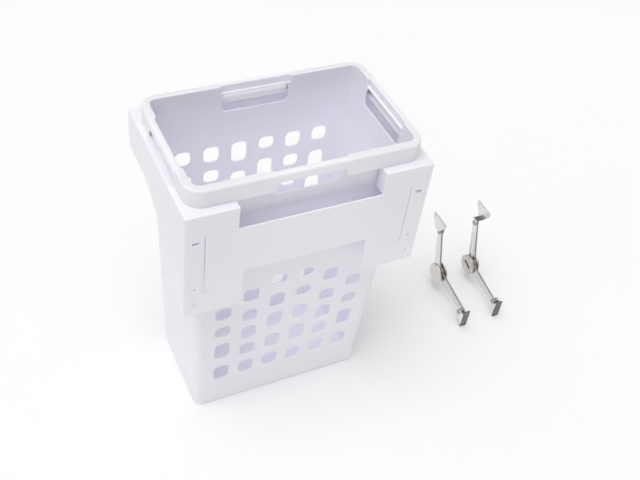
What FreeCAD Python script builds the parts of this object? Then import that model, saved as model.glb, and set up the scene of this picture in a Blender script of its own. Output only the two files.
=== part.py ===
"""Laundry basket that hangs in a moulded carrier behind a cabinet front, with its pair of flap stays.

Millimetres, +Z up. The origin is the centre of the carrier's front plate, on the face that is
screwed to the cabinet front. X runs along the plate and Y runs back into the cabinet.
"""
import FreeCAD, Part
import math
import os

import Sketcher
from FreeCAD import Rotation, Vector

doc = FreeCAD.newDocument("laundry_basket")
sheet = doc.addObject("Spreadsheet::Sheet", "sizes")

DRIVING_SIZES = (
    ("plate_width", 400.0, "front plate, side to side"),
    ("plate_height", 205.0, "front plate, top to bottom"),
    ("carrier_depth", 265.0, "front face to back face of the carrier"),
    ("carrier_wall", 3.0, "moulded wall of the carrier"),
    ("side_height", 74.0, "side and back panels behind the gusset"),
    ("gusset_back", 50.0, "carrier's back face to where the gusset leaves the side panel"),
    ("gusset_foot", 66.0, "depth at which the gusset meets the plate's bottom edge"),
    ("top_notch_width", 235.0, "hand notch in the plate's top edge"),
    ("top_notch_depth", 42.0, "depth of that notch"),
    ("low_notch_width", 209.0, "notch in the plate's bottom edge"),
    ("low_notch_depth", 72.0, "depth of that notch"),
    ("fixing_inset", 17.0, "screw places in from the plate's ends"),
    ("slot_drop", 52.0, "adjusting slots below the plate's top"),
    ("slot_length", 11.0, "adjusting slot, end to end"),
    ("slot_width", 4.5, "adjusting slot, across"),
    ("screw_rise", 58.0, "screw holes above the plate's bottom edge"),
    ("screw_hole", 5.5, "screw hole diameter"),
    ("peg_rise", 23.0, "peg holes above the plate's bottom edge"),
    ("peg_hole", 9.0, "peg hole diameter"),
    ("slit_inset", 31.5, "snap tongue slits in from the plate's ends"),
    ("slit_top", 40.0, "upper end of a slit below the plate's top"),
    ("slit_length", 118.0, "length of a slit"),
    ("slit_width", 1.2, "width of a slit"),
    ("slit_foot", 8.0, "short leg at the lower end of a slit"),
    ("rim_front", 15.0, "front plate's face to the front of the basket's skirt"),
    ("rim_side", 9.5, "skirt in from the plate's ends"),
    ("rim_back", 18.0, "skirt in from the carrier's back face"),
    ("rim_height", 31.0, "skirt, top to bottom"),
    ("rim_radius", 27.0, "outer corner of the skirt"),
    ("rim_round", 3.5, "rounding along the top of the skirt"),
    ("skirt_wall", 2.5, "wall of the skirt"),
    ("ledge_width", 9.0, "flange that carries the skirt, measured in from the skirt's outside"),
    ("mouth_side", 10.5, "skirt's outside to the side walls at the rim"),
    ("mouth_front", 11.0, "skirt's outside to the front wall at the rim"),
    ("mouth_back", 9.5, "skirt's outside to the back wall at the rim"),
    ("mouth_radius", 16.0, "wall corner at the rim"),
    ("side_taper", 19.5, "side walls in from rim to base"),
    ("front_taper", 18.0, "front wall in from rim to base"),
    ("back_taper", 19.0, "back wall in from rim to base"),
    ("base_radius", 14.0, "wall corner at the base"),
    ("base_round", 6.0, "rounding along the base"),
    ("basket_drop", 520.0, "carrier's flange down to the basket's base"),
    ("basket_wall", 2.5, "wall of the basket"),
    ("basket_floor", 3.0, "floor of the basket"),
    ("grip_length", 115.0, "hand hole, end to end"),
    ("grip_rise", 16.0, "hand hole above the flange"),
    ("grip_fall", 16.5, "hand hole below the flange"),
    ("grip_round", 9.0, "corners of a hand hole"),
    ("grip_bar", 2.5, "bar over a hand hole"),
    ("thumb_recess", 3.5, "thumb recess over a hand hole, into the rim"),
    ("hole_width", 27.0, "air hole, across"),
    ("hole_pitch", 50.4, "air hole columns, centre to centre at the rim"),
    ("hole_round", 9.0, "corner of an air hole"),
    ("field_top", 114.0, "rim's top down to the first air holes"),
    ("front_field_top", 234.0, "rim's top down to where the front wall may have air holes"),
    ("field_foot", 70.0, "last air holes down to the base"),
    ("stay_left_x", 213.0, "carrier's right side to the left stay"),
    ("stay_spread", 80.0, "left stay to the right stay"),
    ("stay_hub_y", 156.5, "front plate's face back to the stays' hubs"),
    ("arm_length", 100.0, "pivot to hub, both arms"),
    ("arm_thick", 4.0, "thickness of an arm"),
    ("arm_tip", 14.0, "width of an arm at its pivot"),
    ("arm_root", 22.0, "width of an arm at its hub"),
    ("upper_angle", 75.0, "upper arm's slope, degrees above level"),
    ("lower_angle", 8.0, "lower arm's slope up from the foot, degrees above level"),
    ("hub_eye", 34.0, "round eye of an arm at the hub"),
    ("cap_size", 43.0, "diameter of cap and knob"),
    ("cap_thick", 3.0, "thickness of cap and knob"),
    ("cap_round", 1.2, "rounding of cap and knob"),
    ("coin_slot_length", 21.0, "slot in the brake knob, end to end"),
    ("coin_slot_width", 4.5, "slot in the brake knob, across"),
    ("coin_slot_depth", 1.2, "slot in the brake knob, deep"),
    ("coin_slot_slope", 22.0, "slope of the slot in the brake knob, degrees above level"),
    ("stud_size", 8.0, "diameter of the hub's stud"),
    ("stud_head", 14.0, "diameter of the stud's head in the cap"),
    ("stud_head_thick", 1.8, "height of the stud's head"),
    ("stud_end", 1.1, "stud's end into the knob"),
    ("washer_size", 30.0, "friction washer diameter"),
    ("washer_thick", 0.8, "friction washer thickness"),
    ("spring_size", 20.0, "spring washer diameter"),
    ("spring_thick", 0.9, "spring washer height when clamped"),
    ("rivet_size", 5.0, "diameter of the pivot rivets"),
    ("rivet_head", 10.0, "head of a pivot rivet"),
    ("rivet_head_thick", 1.4, "height of a rivet head"),
    ("running_gap", 0.05, "radial clearance of a pin in its bore"),
    ("side_gap", 0.3, "clearance between faces that turn past each other"),
    ("sheet_thick", 1.6, "sheet metal of the stays' brackets"),
    ("bracket_length", 46.0, "top bracket's upper edge"),
    ("bracket_height", 40.0, "top bracket above its pivot"),
    ("bracket_cheek", 8.0, "upright edges at the top bracket's upper corners"),
    ("bracket_offset", 12.0, "top bracket's plate out from the arms' middle"),
    ("bracket_fold", 8.5, "top bracket's fold above its pivot"),
    ("bracket_round", 3.5, "corners of the brackets"),
    ("bracket_hole", 4.2, "screw holes in the brackets"),
    ("bracket_hole_spread", 30.0, "top bracket's screw holes, centre to centre"),
    ("bracket_hole_inset", 5.5, "top bracket's screw holes below its upper edge"),
    ("lug_width", 13.0, "width of a bracket's pivot lug"),
    ("foot_reach", 16.5, "foot pivot to the far face of the foot plate"),
    ("foot_width", 15.0, "foot plate, side to side"),
    ("foot_lug_offset", 5.4, "foot bracket's lug out from the lower arm"),
    ("foot_height", 44.0, "foot plate, top to bottom"),
    ("foot_rise", 29.0, "foot pivot above the foot plate's lower end"),
    ("foot_hole_spread", 26.0, "foot plate's screw holes, centre to centre"),
)

# Air hole columns from the rim down: hole, web, hole and so on, as shares of the hole field.
OUTER_COLUMN = (27, 24, 39, 18, 39, 24, 28, 21, 25, 20, 40, 24, 36)
MIDDLE_COLUMN = (30, 18, 24, 19, 25, 22, 31, 23, 28, 16, 33, 14, 31, 18, 33)
LEFT_INNER_COLUMN = (39, 23, 37, 22, 23, 23, 34, 16, 38, 22, 34, 20, 34)
RIGHT_INNER_COLUMN = (23, 23, 47, 29, 20, 24, 24, 25, 36, 17, 42, 25, 30)
HOLE_COLUMNS = (
    OUTER_COLUMN,
    MIDDLE_COLUMN,
    LEFT_INNER_COLUMN,
    RIGHT_INNER_COLUMN,
    MIDDLE_COLUMN,
    OUTER_COLUMN,
)

# Levels and places that several pieces share, as expressions on the sheet.
FLANGE = "<plate_height> / 2"
RIM_TOP = "<plate_height> / 2 + <rim_height>"
BASE = "<plate_height> / 2 - <basket_drop>"
SKIRT_SIDE = "(<plate_width> / 2 - <rim_side>)"
SKIRT_BACK = "(<carrier_depth> - <rim_back>)"
MIDDLE = "((<rim_front> + <carrier_depth> - <rim_back>) / 2)"
MOUTH_SIDE = f"({SKIRT_SIDE} - <mouth_side>)"
MOUTH_FRONT = "(<rim_front> + <mouth_front>)"
MOUTH_BACK = f"({SKIRT_BACK} - <mouth_back>)"
# Outside of the basket's walls at the rim and at the base: half width, front and back.
WALLS = {
    "mouth": (MOUTH_SIDE, MOUTH_FRONT, MOUTH_BACK),
    "base": (
        f"({MOUTH_SIDE} - <side_taper>)",
        f"({MOUTH_FRONT} + <front_taper>)",
        f"({MOUTH_BACK} - <back_taper>)",
    ),
}
WASHER_LOW = "<side_gap>"
UPPER_LOW = "(<side_gap> + <washer_thick>)"
UPPER_HIGH = "(<side_gap> + <washer_thick> + <arm_thick>)"
CAP_HIGH = "(<side_gap> + <washer_thick> + <arm_thick> + <cap_thick>)"
SPRING_HIGH = "(-<arm_thick> - <side_gap>)"
SPRING_LOW = "(-<arm_thick> - <side_gap> - <spring_thick>)"
KNOB_HIGH = "(-<arm_thick> - 2 * <side_gap> - <spring_thick>)"
KNOB_LOW = "(-<arm_thick> - 2 * <side_gap> - <spring_thick> - <cap_thick>)"
TOP_LUG_HIGH = "<washer_thick>"
TOP_LUG_LOW = "(<washer_thick> - <sheet_thick>)"
FOOT_LUG_LOW = "<foot_lug_offset>"
FOOT_LUG_HIGH = "(<foot_lug_offset> + <sheet_thick>)"
STUD_BORE = "<stud_size> / 2 + <running_gap>"
RIVET_BORE = "<rivet_size> / 2 + <running_gap>"


def fill_sheet():
    """Writes each driving size, its alias and its meaning into the sheet."""
    for row, (alias, value, meaning) in enumerate(DRIVING_SIZES, start=1):
        sheet.set(f"A{row}", alias)
        sheet.set(f"B{row}", str(value))
        sheet.set(f"C{row}", meaning)
        sheet.setAlias(f"B{row}", alias)
    doc.recompute()


def size(alias):
    """A driving size as a number."""
    return float(sheet.get(alias))


def bind(expression, unit="mm"):
    """An expression that the document follows, with its aliases taken from the sheet."""
    named = expression.replace("<", "sizes.").replace(">", "")
    return f"({named}) * 1 {unit}"


def value_of(expression):
    """The present value of an expression on the sheet."""
    words = {alias: f"({size(alias)})" for alias, _, _ in DRIVING_SIZES}
    numbers = expression.replace("<", "{").replace(">", "}").format(**words)
    return FreeCAD.Units.Quantity(numbers).Value


def new_body(label):
    body = doc.addObject("PartDesign::Body", label)
    body.Label = label
    return body


def new_sketch(body, name, role, lift="0"):
    """A sketch on one of the body's origin planes, lifted along the plane's normal."""
    sketch = body.newObject("Sketcher::SketchObject", f"{body.Label}_{name}")
    plane = next(item for item in body.Origin.OriginFeatures if item.Role == role)
    sketch.AttachmentSupport = [(plane, "")]
    sketch.MapMode = "FlatFace"
    sketch.setExpression(".AttachmentOffset.Base.z", bind(lift))
    return sketch


def drive(sketch, kind, *place, expression):
    """Adds a dimension to a sketch and ties its value to an expression."""
    index = sketch.addConstraint(Sketcher.Constraint(kind, *place, value_of(expression)))
    sketch.setExpression(f"Constraints[{index}]", bind(expression))


def rectangle(sketch, left, right, low, high):
    """A rectangle whose sides lie at four expressions."""
    x0, x1, y0, y1 = (value_of(side) for side in (left, right, low, high))
    outline(sketch, [(x0, y0), (x1, y0), (x1, y1), (x0, y1)], [(left, low), None, (right, high), None])


def outline(sketch, points, ties):
    """A closed outline of straight sides; a tied corner follows two expressions.

    Sides that start level or upright stay so, and a corner without a tie follows from them.
    """
    first = sketch.GeometryCount
    count = len(points)
    for index, (x, y) in enumerate(points):
        end = points[(index + 1) % count]
        sketch.addGeometry(Part.LineSegment(Vector(x, y), Vector(*end)))
    for index, (x, y) in enumerate(points):
        end = points[(index + 1) % count]
        side = first + index
        follower = first + (index + 1) % count
        sketch.addConstraint(Sketcher.Constraint("Coincident", side, 2, follower, 1))
        both_tied = ties[index] is not None and ties[(index + 1) % count] is not None
        if y == end[1] and not both_tied:
            sketch.addConstraint(Sketcher.Constraint("Horizontal", side))
        elif x == end[0] and not both_tied:
            sketch.addConstraint(Sketcher.Constraint("Vertical", side))
    for index, tie in enumerate(ties):
        if tie is not None:
            drive(sketch, "DistanceX", -1, 1, first + index, 1, expression=tie[0])
            drive(sketch, "DistanceY", -1, 1, first + index, 1, expression=tie[1])


def corner_arc(centre, radius, quarter):
    """The quarter circle of a rounded corner; quarter 0 runs from +X to +Y."""
    circle = Part.Circle(Vector(*centre), Vector(0, 0, 1), radius)
    return Part.ArcOfCircle(circle, quarter * math.pi / 2, (quarter + 1) * math.pi / 2)


def rounded_rectangle(sketch, left, right, low, high, radius):
    """A rectangle with four equal round corners, its sides and radius at expressions."""
    x0, x1, y0, y1, r = (value_of(item) for item in (left, right, low, high, radius))
    first = sketch.GeometryCount
    sides = (
        ((x0 + r, y0), (x1 - r, y0), (x1 - r, y0 + r), 3),
        ((x1, y0 + r), (x1, y1 - r), (x1 - r, y1 - r), 0),
        ((x1 - r, y1), (x0 + r, y1), (x0 + r, y1 - r), 1),
        ((x0, y1 - r), (x0, y0 + r), (x0 + r, y0 + r), 2),
    )
    for start, end, centre, quarter in sides:
        sketch.addGeometry(Part.LineSegment(Vector(*start), Vector(*end)))
        sketch.addGeometry(corner_arc(centre, r, quarter))
    for index in range(0, 8, 2):
        line = first + index
        arc = line + 1
        following = first + (index + 2) % 8
        sketch.addConstraint(Sketcher.Constraint("Tangent", line, 2, arc, 1))
        sketch.addConstraint(Sketcher.Constraint("Tangent", arc, 2, following, 1))
        if index:
            sketch.addConstraint(Sketcher.Constraint("Equal", first + 1, arc))
    for index, direction in enumerate(("Horizontal", "Vertical", "Horizontal", "Vertical")):
        if index != 3:
            sketch.addConstraint(Sketcher.Constraint(direction, first + 2 * index))
    drive(sketch, "Radius", first + 1, expression=radius)
    drive(sketch, "DistanceY", -1, 1, first, 1, expression=low)
    drive(sketch, "DistanceX", -1, 1, first + 2, 1, expression=right)
    drive(sketch, "DistanceY", -1, 1, first + 4, 1, expression=high)
    drive(sketch, "DistanceX", -1, 1, first + 6, 1, expression=left)


def circle(sketch, x, y, radius):
    """A circle whose centre and radius are at expressions."""
    centre = Vector(value_of(x), value_of(y))
    index = sketch.addGeometry(Part.Circle(centre, Vector(0, 0, 1), value_of(radius)))
    drive(sketch, "Radius", index, expression=radius)
    drive(sketch, "DistanceX", -1, 1, index, 3, expression=x)
    drive(sketch, "DistanceY", -1, 1, index, 3, expression=y)


def level_slot(sketch, x, y, length, width):
    """A level slot with round ends, centred at two expressions."""
    cx, cy, whole, across = (value_of(item) for item in (x, y, length, width))
    r = across / 2
    reach = whole / 2 - r
    first = sketch.GeometryCount
    sketch.addGeometry(Part.LineSegment(Vector(cx - reach, cy - r), Vector(cx + reach, cy - r)))
    right = Part.Circle(Vector(cx + reach, cy), Vector(0, 0, 1), r)
    sketch.addGeometry(Part.ArcOfCircle(right, -math.pi / 2, math.pi / 2))
    sketch.addGeometry(Part.LineSegment(Vector(cx + reach, cy + r), Vector(cx - reach, cy + r)))
    left = Part.Circle(Vector(cx - reach, cy), Vector(0, 0, 1), r)
    sketch.addGeometry(Part.ArcOfCircle(left, math.pi / 2, 3 * math.pi / 2))
    for index in range(4):
        following = first + (index + 1) % 4
        sketch.addConstraint(Sketcher.Constraint("Tangent", first + index, 2, following, 1))
    sketch.addConstraint(Sketcher.Constraint("Horizontal", first))
    drive(sketch, "Radius", first + 1, expression=f"({width}) / 2")
    half = f"(({length}) - ({width})) / 2"
    drive(sketch, "DistanceX", -1, 1, first + 1, 3, expression=f"({x}) + {half}")
    drive(sketch, "DistanceX", -1, 1, first + 3, 3, expression=f"({x}) - {half}")
    drive(sketch, "DistanceY", -1, 1, first + 1, 3, expression=y)


def pad(sketch, length, both_ways=False, backwards=False):
    """Adds material from a sketch along its normal."""
    body = sketch.getParentGeoFeatureGroup()
    feature = body.newObject("PartDesign::Pad", f"{sketch.Name}_pad")
    feature.Profile = sketch
    feature.SideType = "Symmetric" if both_ways else "One side"
    feature.Reversed = backwards
    feature.setExpression("Length", bind(length))
    return feature


def pocket(sketch, length, both_ways=False, backwards=False):
    """Removes material from a sketch against its normal."""
    body = sketch.getParentGeoFeatureGroup()
    feature = body.newObject("PartDesign::Pocket", f"{sketch.Name}_pocket")
    feature.Profile = sketch
    feature.SideType = "Symmetric" if both_ways else "One side"
    feature.Reversed = backwards
    feature.setExpression("Length", bind(length))
    return feature


def loft(kind, low_sketch, high_sketch):
    """A straight-sided loft between two sketches, added or taken away."""
    body = low_sketch.getParentGeoFeatureGroup()
    feature = body.newObject(kind, f"{low_sketch.Name}_loft")
    feature.Profile = low_sketch
    feature.Sections = [high_sketch]
    feature.Ruled = True
    return feature


def round_edges(body, base, radius, wanted):
    """Rounds the edges of a feature that a test picks."""
    doc.recompute()
    names = [f"Edge{i}" for i, edge in enumerate(base.Shape.Edges, start=1) if wanted(edge)]
    feature = body.newObject("PartDesign::Fillet", f"{base.Name}_round")
    feature.Base = (base, names)
    feature.setExpression("Radius", bind(radius))
    return feature


def at_level(edge, level):
    """Whether an edge lies level at a height."""
    box = edge.BoundBox
    return abs(box.ZMin - level) < 1e-4 and abs(box.ZMax - level) < 1e-4


def carrier_frame():
    """The moulded ring: front plate, side panels with gussets, back panel and top flange."""
    body = new_body("carrier_frame")
    add_carrier_block(body)
    cut_carrier_hollow(body)
    cut_carrier_notches(body)
    add_notch_returns(body)
    cut_plate_fixings(body)
    cut_plate_slits(body)
    return body


def add_carrier_block(body):
    """The outer form, drawn from the side and padded across."""
    sketch = new_sketch(body, "side", "YZ_Plane")
    top, bottom = value_of(FLANGE), -value_of(FLANGE)
    depth, foot = size("carrier_depth"), size("gusset_foot")
    start = depth - size("gusset_back")
    shelf = top - size("side_height")
    fall = shelf - bottom
    radius = ((start - foot) ** 2 + fall**2) / (2 * fall)
    centre = Vector(start, shelf - radius)
    foot_angle = math.atan2(bottom - centre.y, foot - start)
    sweep = Part.ArcOfCircle(Part.Circle(centre, Vector(0, 0, 1), radius), math.pi / 2, foot_angle)
    sketch.addGeometry(Part.LineSegment(Vector(0, bottom), Vector(foot, bottom)))
    sketch.addGeometry(sweep)
    sketch.addGeometry(Part.LineSegment(Vector(start, shelf), Vector(depth, shelf)))
    sketch.addGeometry(Part.LineSegment(Vector(depth, shelf), Vector(depth, top)))
    sketch.addGeometry(Part.LineSegment(Vector(depth, top), Vector(0, top)))
    sketch.addGeometry(Part.LineSegment(Vector(0, top), Vector(0, bottom)))
    sketch.addConstraint(Sketcher.Constraint("Coincident", 0, 2, 1, 2))
    sketch.addConstraint(Sketcher.Constraint("Tangent", 1, 1, 2, 1))
    for side, following in ((2, 3), (3, 4), (4, 5), (5, 0)):
        sketch.addConstraint(Sketcher.Constraint("Coincident", side, 2, following, 1))
    for side, direction in ((0, "Horizontal"), (2, "Horizontal"), (3, "Vertical"), (4, "Horizontal")):
        sketch.addConstraint(Sketcher.Constraint(direction, side))
    sketch.addConstraint(Sketcher.Constraint("PointOnObject", 5, 1, -2))
    sketch.addConstraint(Sketcher.Constraint("PointOnObject", 0, 1, -2))
    drive(sketch, "DistanceX", -1, 1, 0, 2, expression="<gusset_foot>")
    drive(sketch, "DistanceY", -1, 1, 0, 1, expression="-<plate_height> / 2")
    drive(sketch, "DistanceX", -1, 1, 2, 1, expression="<carrier_depth> - <gusset_back>")
    drive(sketch, "DistanceY", -1, 1, 2, 1, expression=f"{FLANGE} - <side_height>")
    drive(sketch, "DistanceX", -1, 1, 3, 2, expression="<carrier_depth>")
    drive(sketch, "DistanceY", -1, 1, 3, 2, expression=FLANGE)
    pad(sketch, "<plate_width>", both_ways=True)


def cut_carrier_hollow(body):
    """The open underside, and the ring's mouth that the basket hangs through."""
    hollow = new_sketch(body, "hollow", "YZ_Plane")
    rectangle(
        hollow,
        "<carrier_wall>",
        "<carrier_depth> - <carrier_wall>",
        "-<plate_height>",
        f"{FLANGE} - <carrier_wall>",
    )
    pocket(hollow, "<plate_width> - 2 * <carrier_wall>", both_ways=True)
    ring = new_sketch(body, "ring", "XY_Plane", lift=FLANGE)
    skirt_outline(ring, "<ledge_width>")
    pocket(ring, "2 * <carrier_wall>")


def cut_carrier_notches(body):
    """The hand notch in the plate's top edge and the notch in its bottom edge."""
    top = new_sketch(body, "top_notch", "XZ_Plane")
    rectangle(
        top,
        "-<top_notch_width> / 2",
        "<top_notch_width> / 2",
        f"{FLANGE} - <top_notch_depth>",
        f"{FLANGE} + <carrier_wall>",
    )
    pocket(top, "<rim_front> + 2 * <ledge_width>")
    low = new_sketch(body, "low_notch", "XZ_Plane")
    rectangle(
        low,
        "-<low_notch_width> / 2",
        "<low_notch_width> / 2",
        "-<plate_height> / 2 - <carrier_wall>",
        "-<plate_height> / 2 + <low_notch_depth>",
    )
    pocket(low, "2 * <carrier_wall>")


def add_notch_returns(body):
    """The upright walls that close the plate's wings beside the hand notch."""
    sketch = new_sketch(body, "returns", "XZ_Plane", lift="-<carrier_wall> / 2")
    for side in ("", "-"):
        inner = f"{side}<top_notch_width> / 2"
        outer = f"{side}(<top_notch_width> / 2 + <carrier_wall>)"
        left, right = (outer, inner) if side else (inner, outer)
        low = f"{FLANGE} - <top_notch_depth>"
        rectangle(sketch, left, right, low, f"{FLANGE} - <carrier_wall> / 2")
    reach = "<rim_front> + <ledge_width> - <carrier_wall> / 2"
    pad(sketch, reach, backwards=True)


def cut_plate_fixings(body):
    """Adjusting slots, screw holes and peg holes, a pair of each."""
    sketch = new_sketch(body, "fixings", "XZ_Plane")
    for side in ("", "-"):
        x = f"{side}(<plate_width> / 2 - <fixing_inset>)"
        level_slot(sketch, x, f"{FLANGE} - <slot_drop>", "<slot_length>", "<slot_width>")
        circle(sketch, x, "-<plate_height> / 2 + <screw_rise>", "<screw_hole> / 2")
        circle(sketch, x, "-<plate_height> / 2 + <peg_rise>", "<peg_hole> / 2")
    pocket(sketch, "2 * <carrier_wall>")


def cut_plate_slits(body):
    """The slits beside the fixings, each with a short leg at its lower end."""
    sketch = new_sketch(body, "slits", "XZ_Plane")
    legs = new_sketch(body, "slit_legs", "XZ_Plane")
    low = f"{FLANGE} - <slit_top> - <slit_length>"
    place = "<plate_width> / 2 - <slit_inset>"
    for side in ("", "-"):
        far = f"{side}({place} + <slit_width> / 2)"
        near = f"{side}({place} - <slit_width> / 2)"
        end = f"{side}({place} + <slit_width> / 2 - <slit_foot>)"
        left, right = (far, near) if side else (near, far)
        rectangle(sketch, left, right, low, f"{FLANGE} - <slit_top>")
        left, right = (far, end) if side else (end, far)
        rectangle(legs, left, right, low, f"{low} + <slit_width>")
    pocket(sketch, "2 * <carrier_wall>")
    pocket(legs, "2 * <carrier_wall>")


def wall_outline(sketch, level, inset="0"):
    """The basket wall's outline at the rim or at the base, drawn in by an inset."""
    side, front, back = WALLS[level]
    half = f"({side} - {inset})"
    radius = f"<{level}_radius> - {inset}"
    rounded_rectangle(sketch, f"-{half}", half, f"{front} + {inset}", f"{back} - {inset}", radius)


def skirt_outline(sketch, inset="0"):
    """The skirt's outline, drawn in by an inset."""
    half = f"({SKIRT_SIDE} - {inset})"
    front, back = f"<rim_front> + {inset}", f"{SKIRT_BACK} - {inset}"
    rounded_rectangle(sketch, f"-{half}", half, front, back, f"<rim_radius> - {inset}")


def basket_shell():
    """The basket before its air holes: tapered wall, floor, rim with skirt and hand holes."""
    body = new_body("basket_shell")
    low = new_sketch(body, "base", "XY_Plane", lift=BASE)
    wall_outline(low, "base")
    mouth = new_sketch(body, "mouth", "XY_Plane", lift=RIM_TOP)
    wall_outline(mouth, "mouth")
    loft("PartDesign::AdditiveLoft", low, mouth)
    rim = new_sketch(body, "rim", "XY_Plane", lift=FLANGE)
    skirt_outline(rim)
    rim_block = pad(rim, "<rim_height>")
    top = value_of(RIM_TOP)
    round_edges(body, rim_block, "<rim_round>", lambda edge: at_level(edge, top))
    cut_under_rim(body)
    add_grip_blocks(body)
    cut_inside(body)
    cut_grips(body)
    base = value_of(BASE)
    round_edges(body, body.Tip, "<base_round>", lambda edge: at_level(edge, base))
    return body


def cut_under_rim(body):
    """The space between wall and skirt, open at the bottom."""
    sketch = new_sketch(body, "under_rim", "XY_Plane", lift=FLANGE)
    skirt_outline(sketch, "<skirt_wall>")
    wall_outline(sketch, "mouth")
    pocket(sketch, "<rim_height> - <skirt_wall>", backwards=True)


def add_grip_blocks(body):
    """Solid stretches over the hand holes, which join wall and skirt."""
    sketch = new_sketch(body, "grip_blocks", "XY_Plane", lift=f"{FLANGE} + <grip_rise>")
    half = "(<grip_length> / 2 + 2 * <grip_bar>)"
    front = ("<rim_front> + <skirt_wall> / 2", f"{MOUTH_FRONT} + <basket_wall> / 2")
    back = (f"{MOUTH_BACK} - <basket_wall> / 2", f"{SKIRT_BACK} - <skirt_wall> / 2")
    for low, high in (front, back):
        rectangle(sketch, f"-{half}", half, low, high)
    near = f"({MOUTH_SIDE} - <basket_wall> / 2)"
    far = f"({SKIRT_SIDE} - <skirt_wall> / 2)"
    for left, right in ((near, far), (f"-{far}", f"-{near}")):
        rectangle(sketch, left, right, f"{MIDDLE} - {half}", f"{MIDDLE} + {half}")
    pad(sketch, "<rim_height> - <grip_rise> - <skirt_wall> / 2")


def cut_inside(body):
    """The inside of the basket, down to its floor."""
    floor = new_sketch(body, "floor", "XY_Plane", lift=f"{BASE} + <basket_floor>")
    wall_outline(floor, "base", "<basket_wall>")
    mouth = new_sketch(body, "inner_mouth", "XY_Plane", lift=RIM_TOP)
    wall_outline(mouth, "mouth", "<basket_wall>")
    loft("PartDesign::SubtractiveLoft", floor, mouth)


def cut_grips(body):
    """Hand holes through wall and skirt on four sides, with thumb recesses above them."""
    low, high = f"{FLANGE} - <grip_fall>", f"{FLANGE} + <grip_rise>"
    ends = new_sketch(body, "end_grips", "XZ_Plane")
    half = "<grip_length> / 2"
    rounded_rectangle(ends, f"-{half}", half, low, high, "<grip_round>")
    pocket(ends, "4 * <carrier_depth>", both_ways=True)
    sides = new_sketch(body, "side_grips", "YZ_Plane")
    rounded_rectangle(sides, f"{MIDDLE} - {half}", f"{MIDDLE} + {half}", low, high, "<grip_round>")
    pocket(sides, "4 * <plate_width>", both_ways=True)
    recess = new_sketch(body, "thumb_recesses", "XY_Plane", lift=RIM_TOP)
    wide = "(<grip_length> / 2 + <grip_bar>)"
    front = f"({MOUTH_FRONT} + <basket_wall>)"
    back = f"({MOUTH_BACK} - <basket_wall>)"
    side = f"({MOUTH_SIDE} - <basket_wall>)"
    for low, high in (
        (f"{front} - <thumb_recess>", f"{front} + <grip_bar>"),
        (f"{back} - <grip_bar>", f"{back} + <thumb_recess>"),
    ):
        rectangle(recess, f"-{wide}", wide, low, high)
    for left, right in (
        (f"{side} - <grip_bar>", f"{side} + <thumb_recess>"),
        (f"-{side} - <thumb_recess>", f"-{side} + <grip_bar>"),
    ):
        rectangle(recess, left, right, f"{MIDDLE} - {wide}", f"{MIDDLE} + {wide}")
    pocket(recess, "<rim_height> - <grip_rise> - <grip_bar>")


def air_hole(x, low, high, start):
    """A rounded bar that runs back from a start through the back wall."""
    width, depth = size("hole_width"), size("carrier_depth")
    bar = Part.makeBox(width, 2 * depth - start, high - low, Vector(x - width / 2, start, low))
    corners = [edge for edge in bar.Edges if edge.BoundBox.YLength > depth / 2]
    radius = min(size("hole_round"), 0.45 * width, 0.45 * (high - low))
    return bar.makeFillet(radius, corners)


def air_holes():
    """All the air holes: columns that close up with the taper of the walls.

    The back wall has them all, the front wall has those below its own start.
    """
    top = value_of(RIM_TOP) - size("field_top")
    front_top = value_of(RIM_TOP) - size("front_field_top")
    foot = value_of(BASE) + size("field_foot")
    height = value_of(RIM_TOP) - value_of(BASE)
    taper = size("side_taper") / value_of(MOUTH_SIDE) / height
    bars = []
    for column, shares in enumerate(HOLE_COLUMNS):
        place = column - (len(HOLE_COLUMNS) - 1) / 2
        scale = (top - foot) / sum(shares)
        high = top
        for index, share in enumerate(shares):
            low = high - share * scale
            if index % 2 == 0:
                below_rim = value_of(RIM_TOP) - (low + high) / 2
                pitch = size("hole_pitch") * (1 - taper * below_rim)
                start = -size("carrier_depth") if high < front_top else value_of(MIDDLE)
                bars.append(air_hole(place * pitch, low, high, start))
            high = low
    return Part.makeCompound(bars)


def basket():
    """The basket: its shell with the air holes cut through front and back."""
    shell = basket_shell()
    holes = doc.addObject("Part::Feature", "air_holes")
    holes.Shape = air_holes()
    cut = doc.addObject("Part::Cut", "basket")
    cut.Label = "basket"
    cut.Base = shell
    cut.Tool = holes
    return cut


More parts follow.
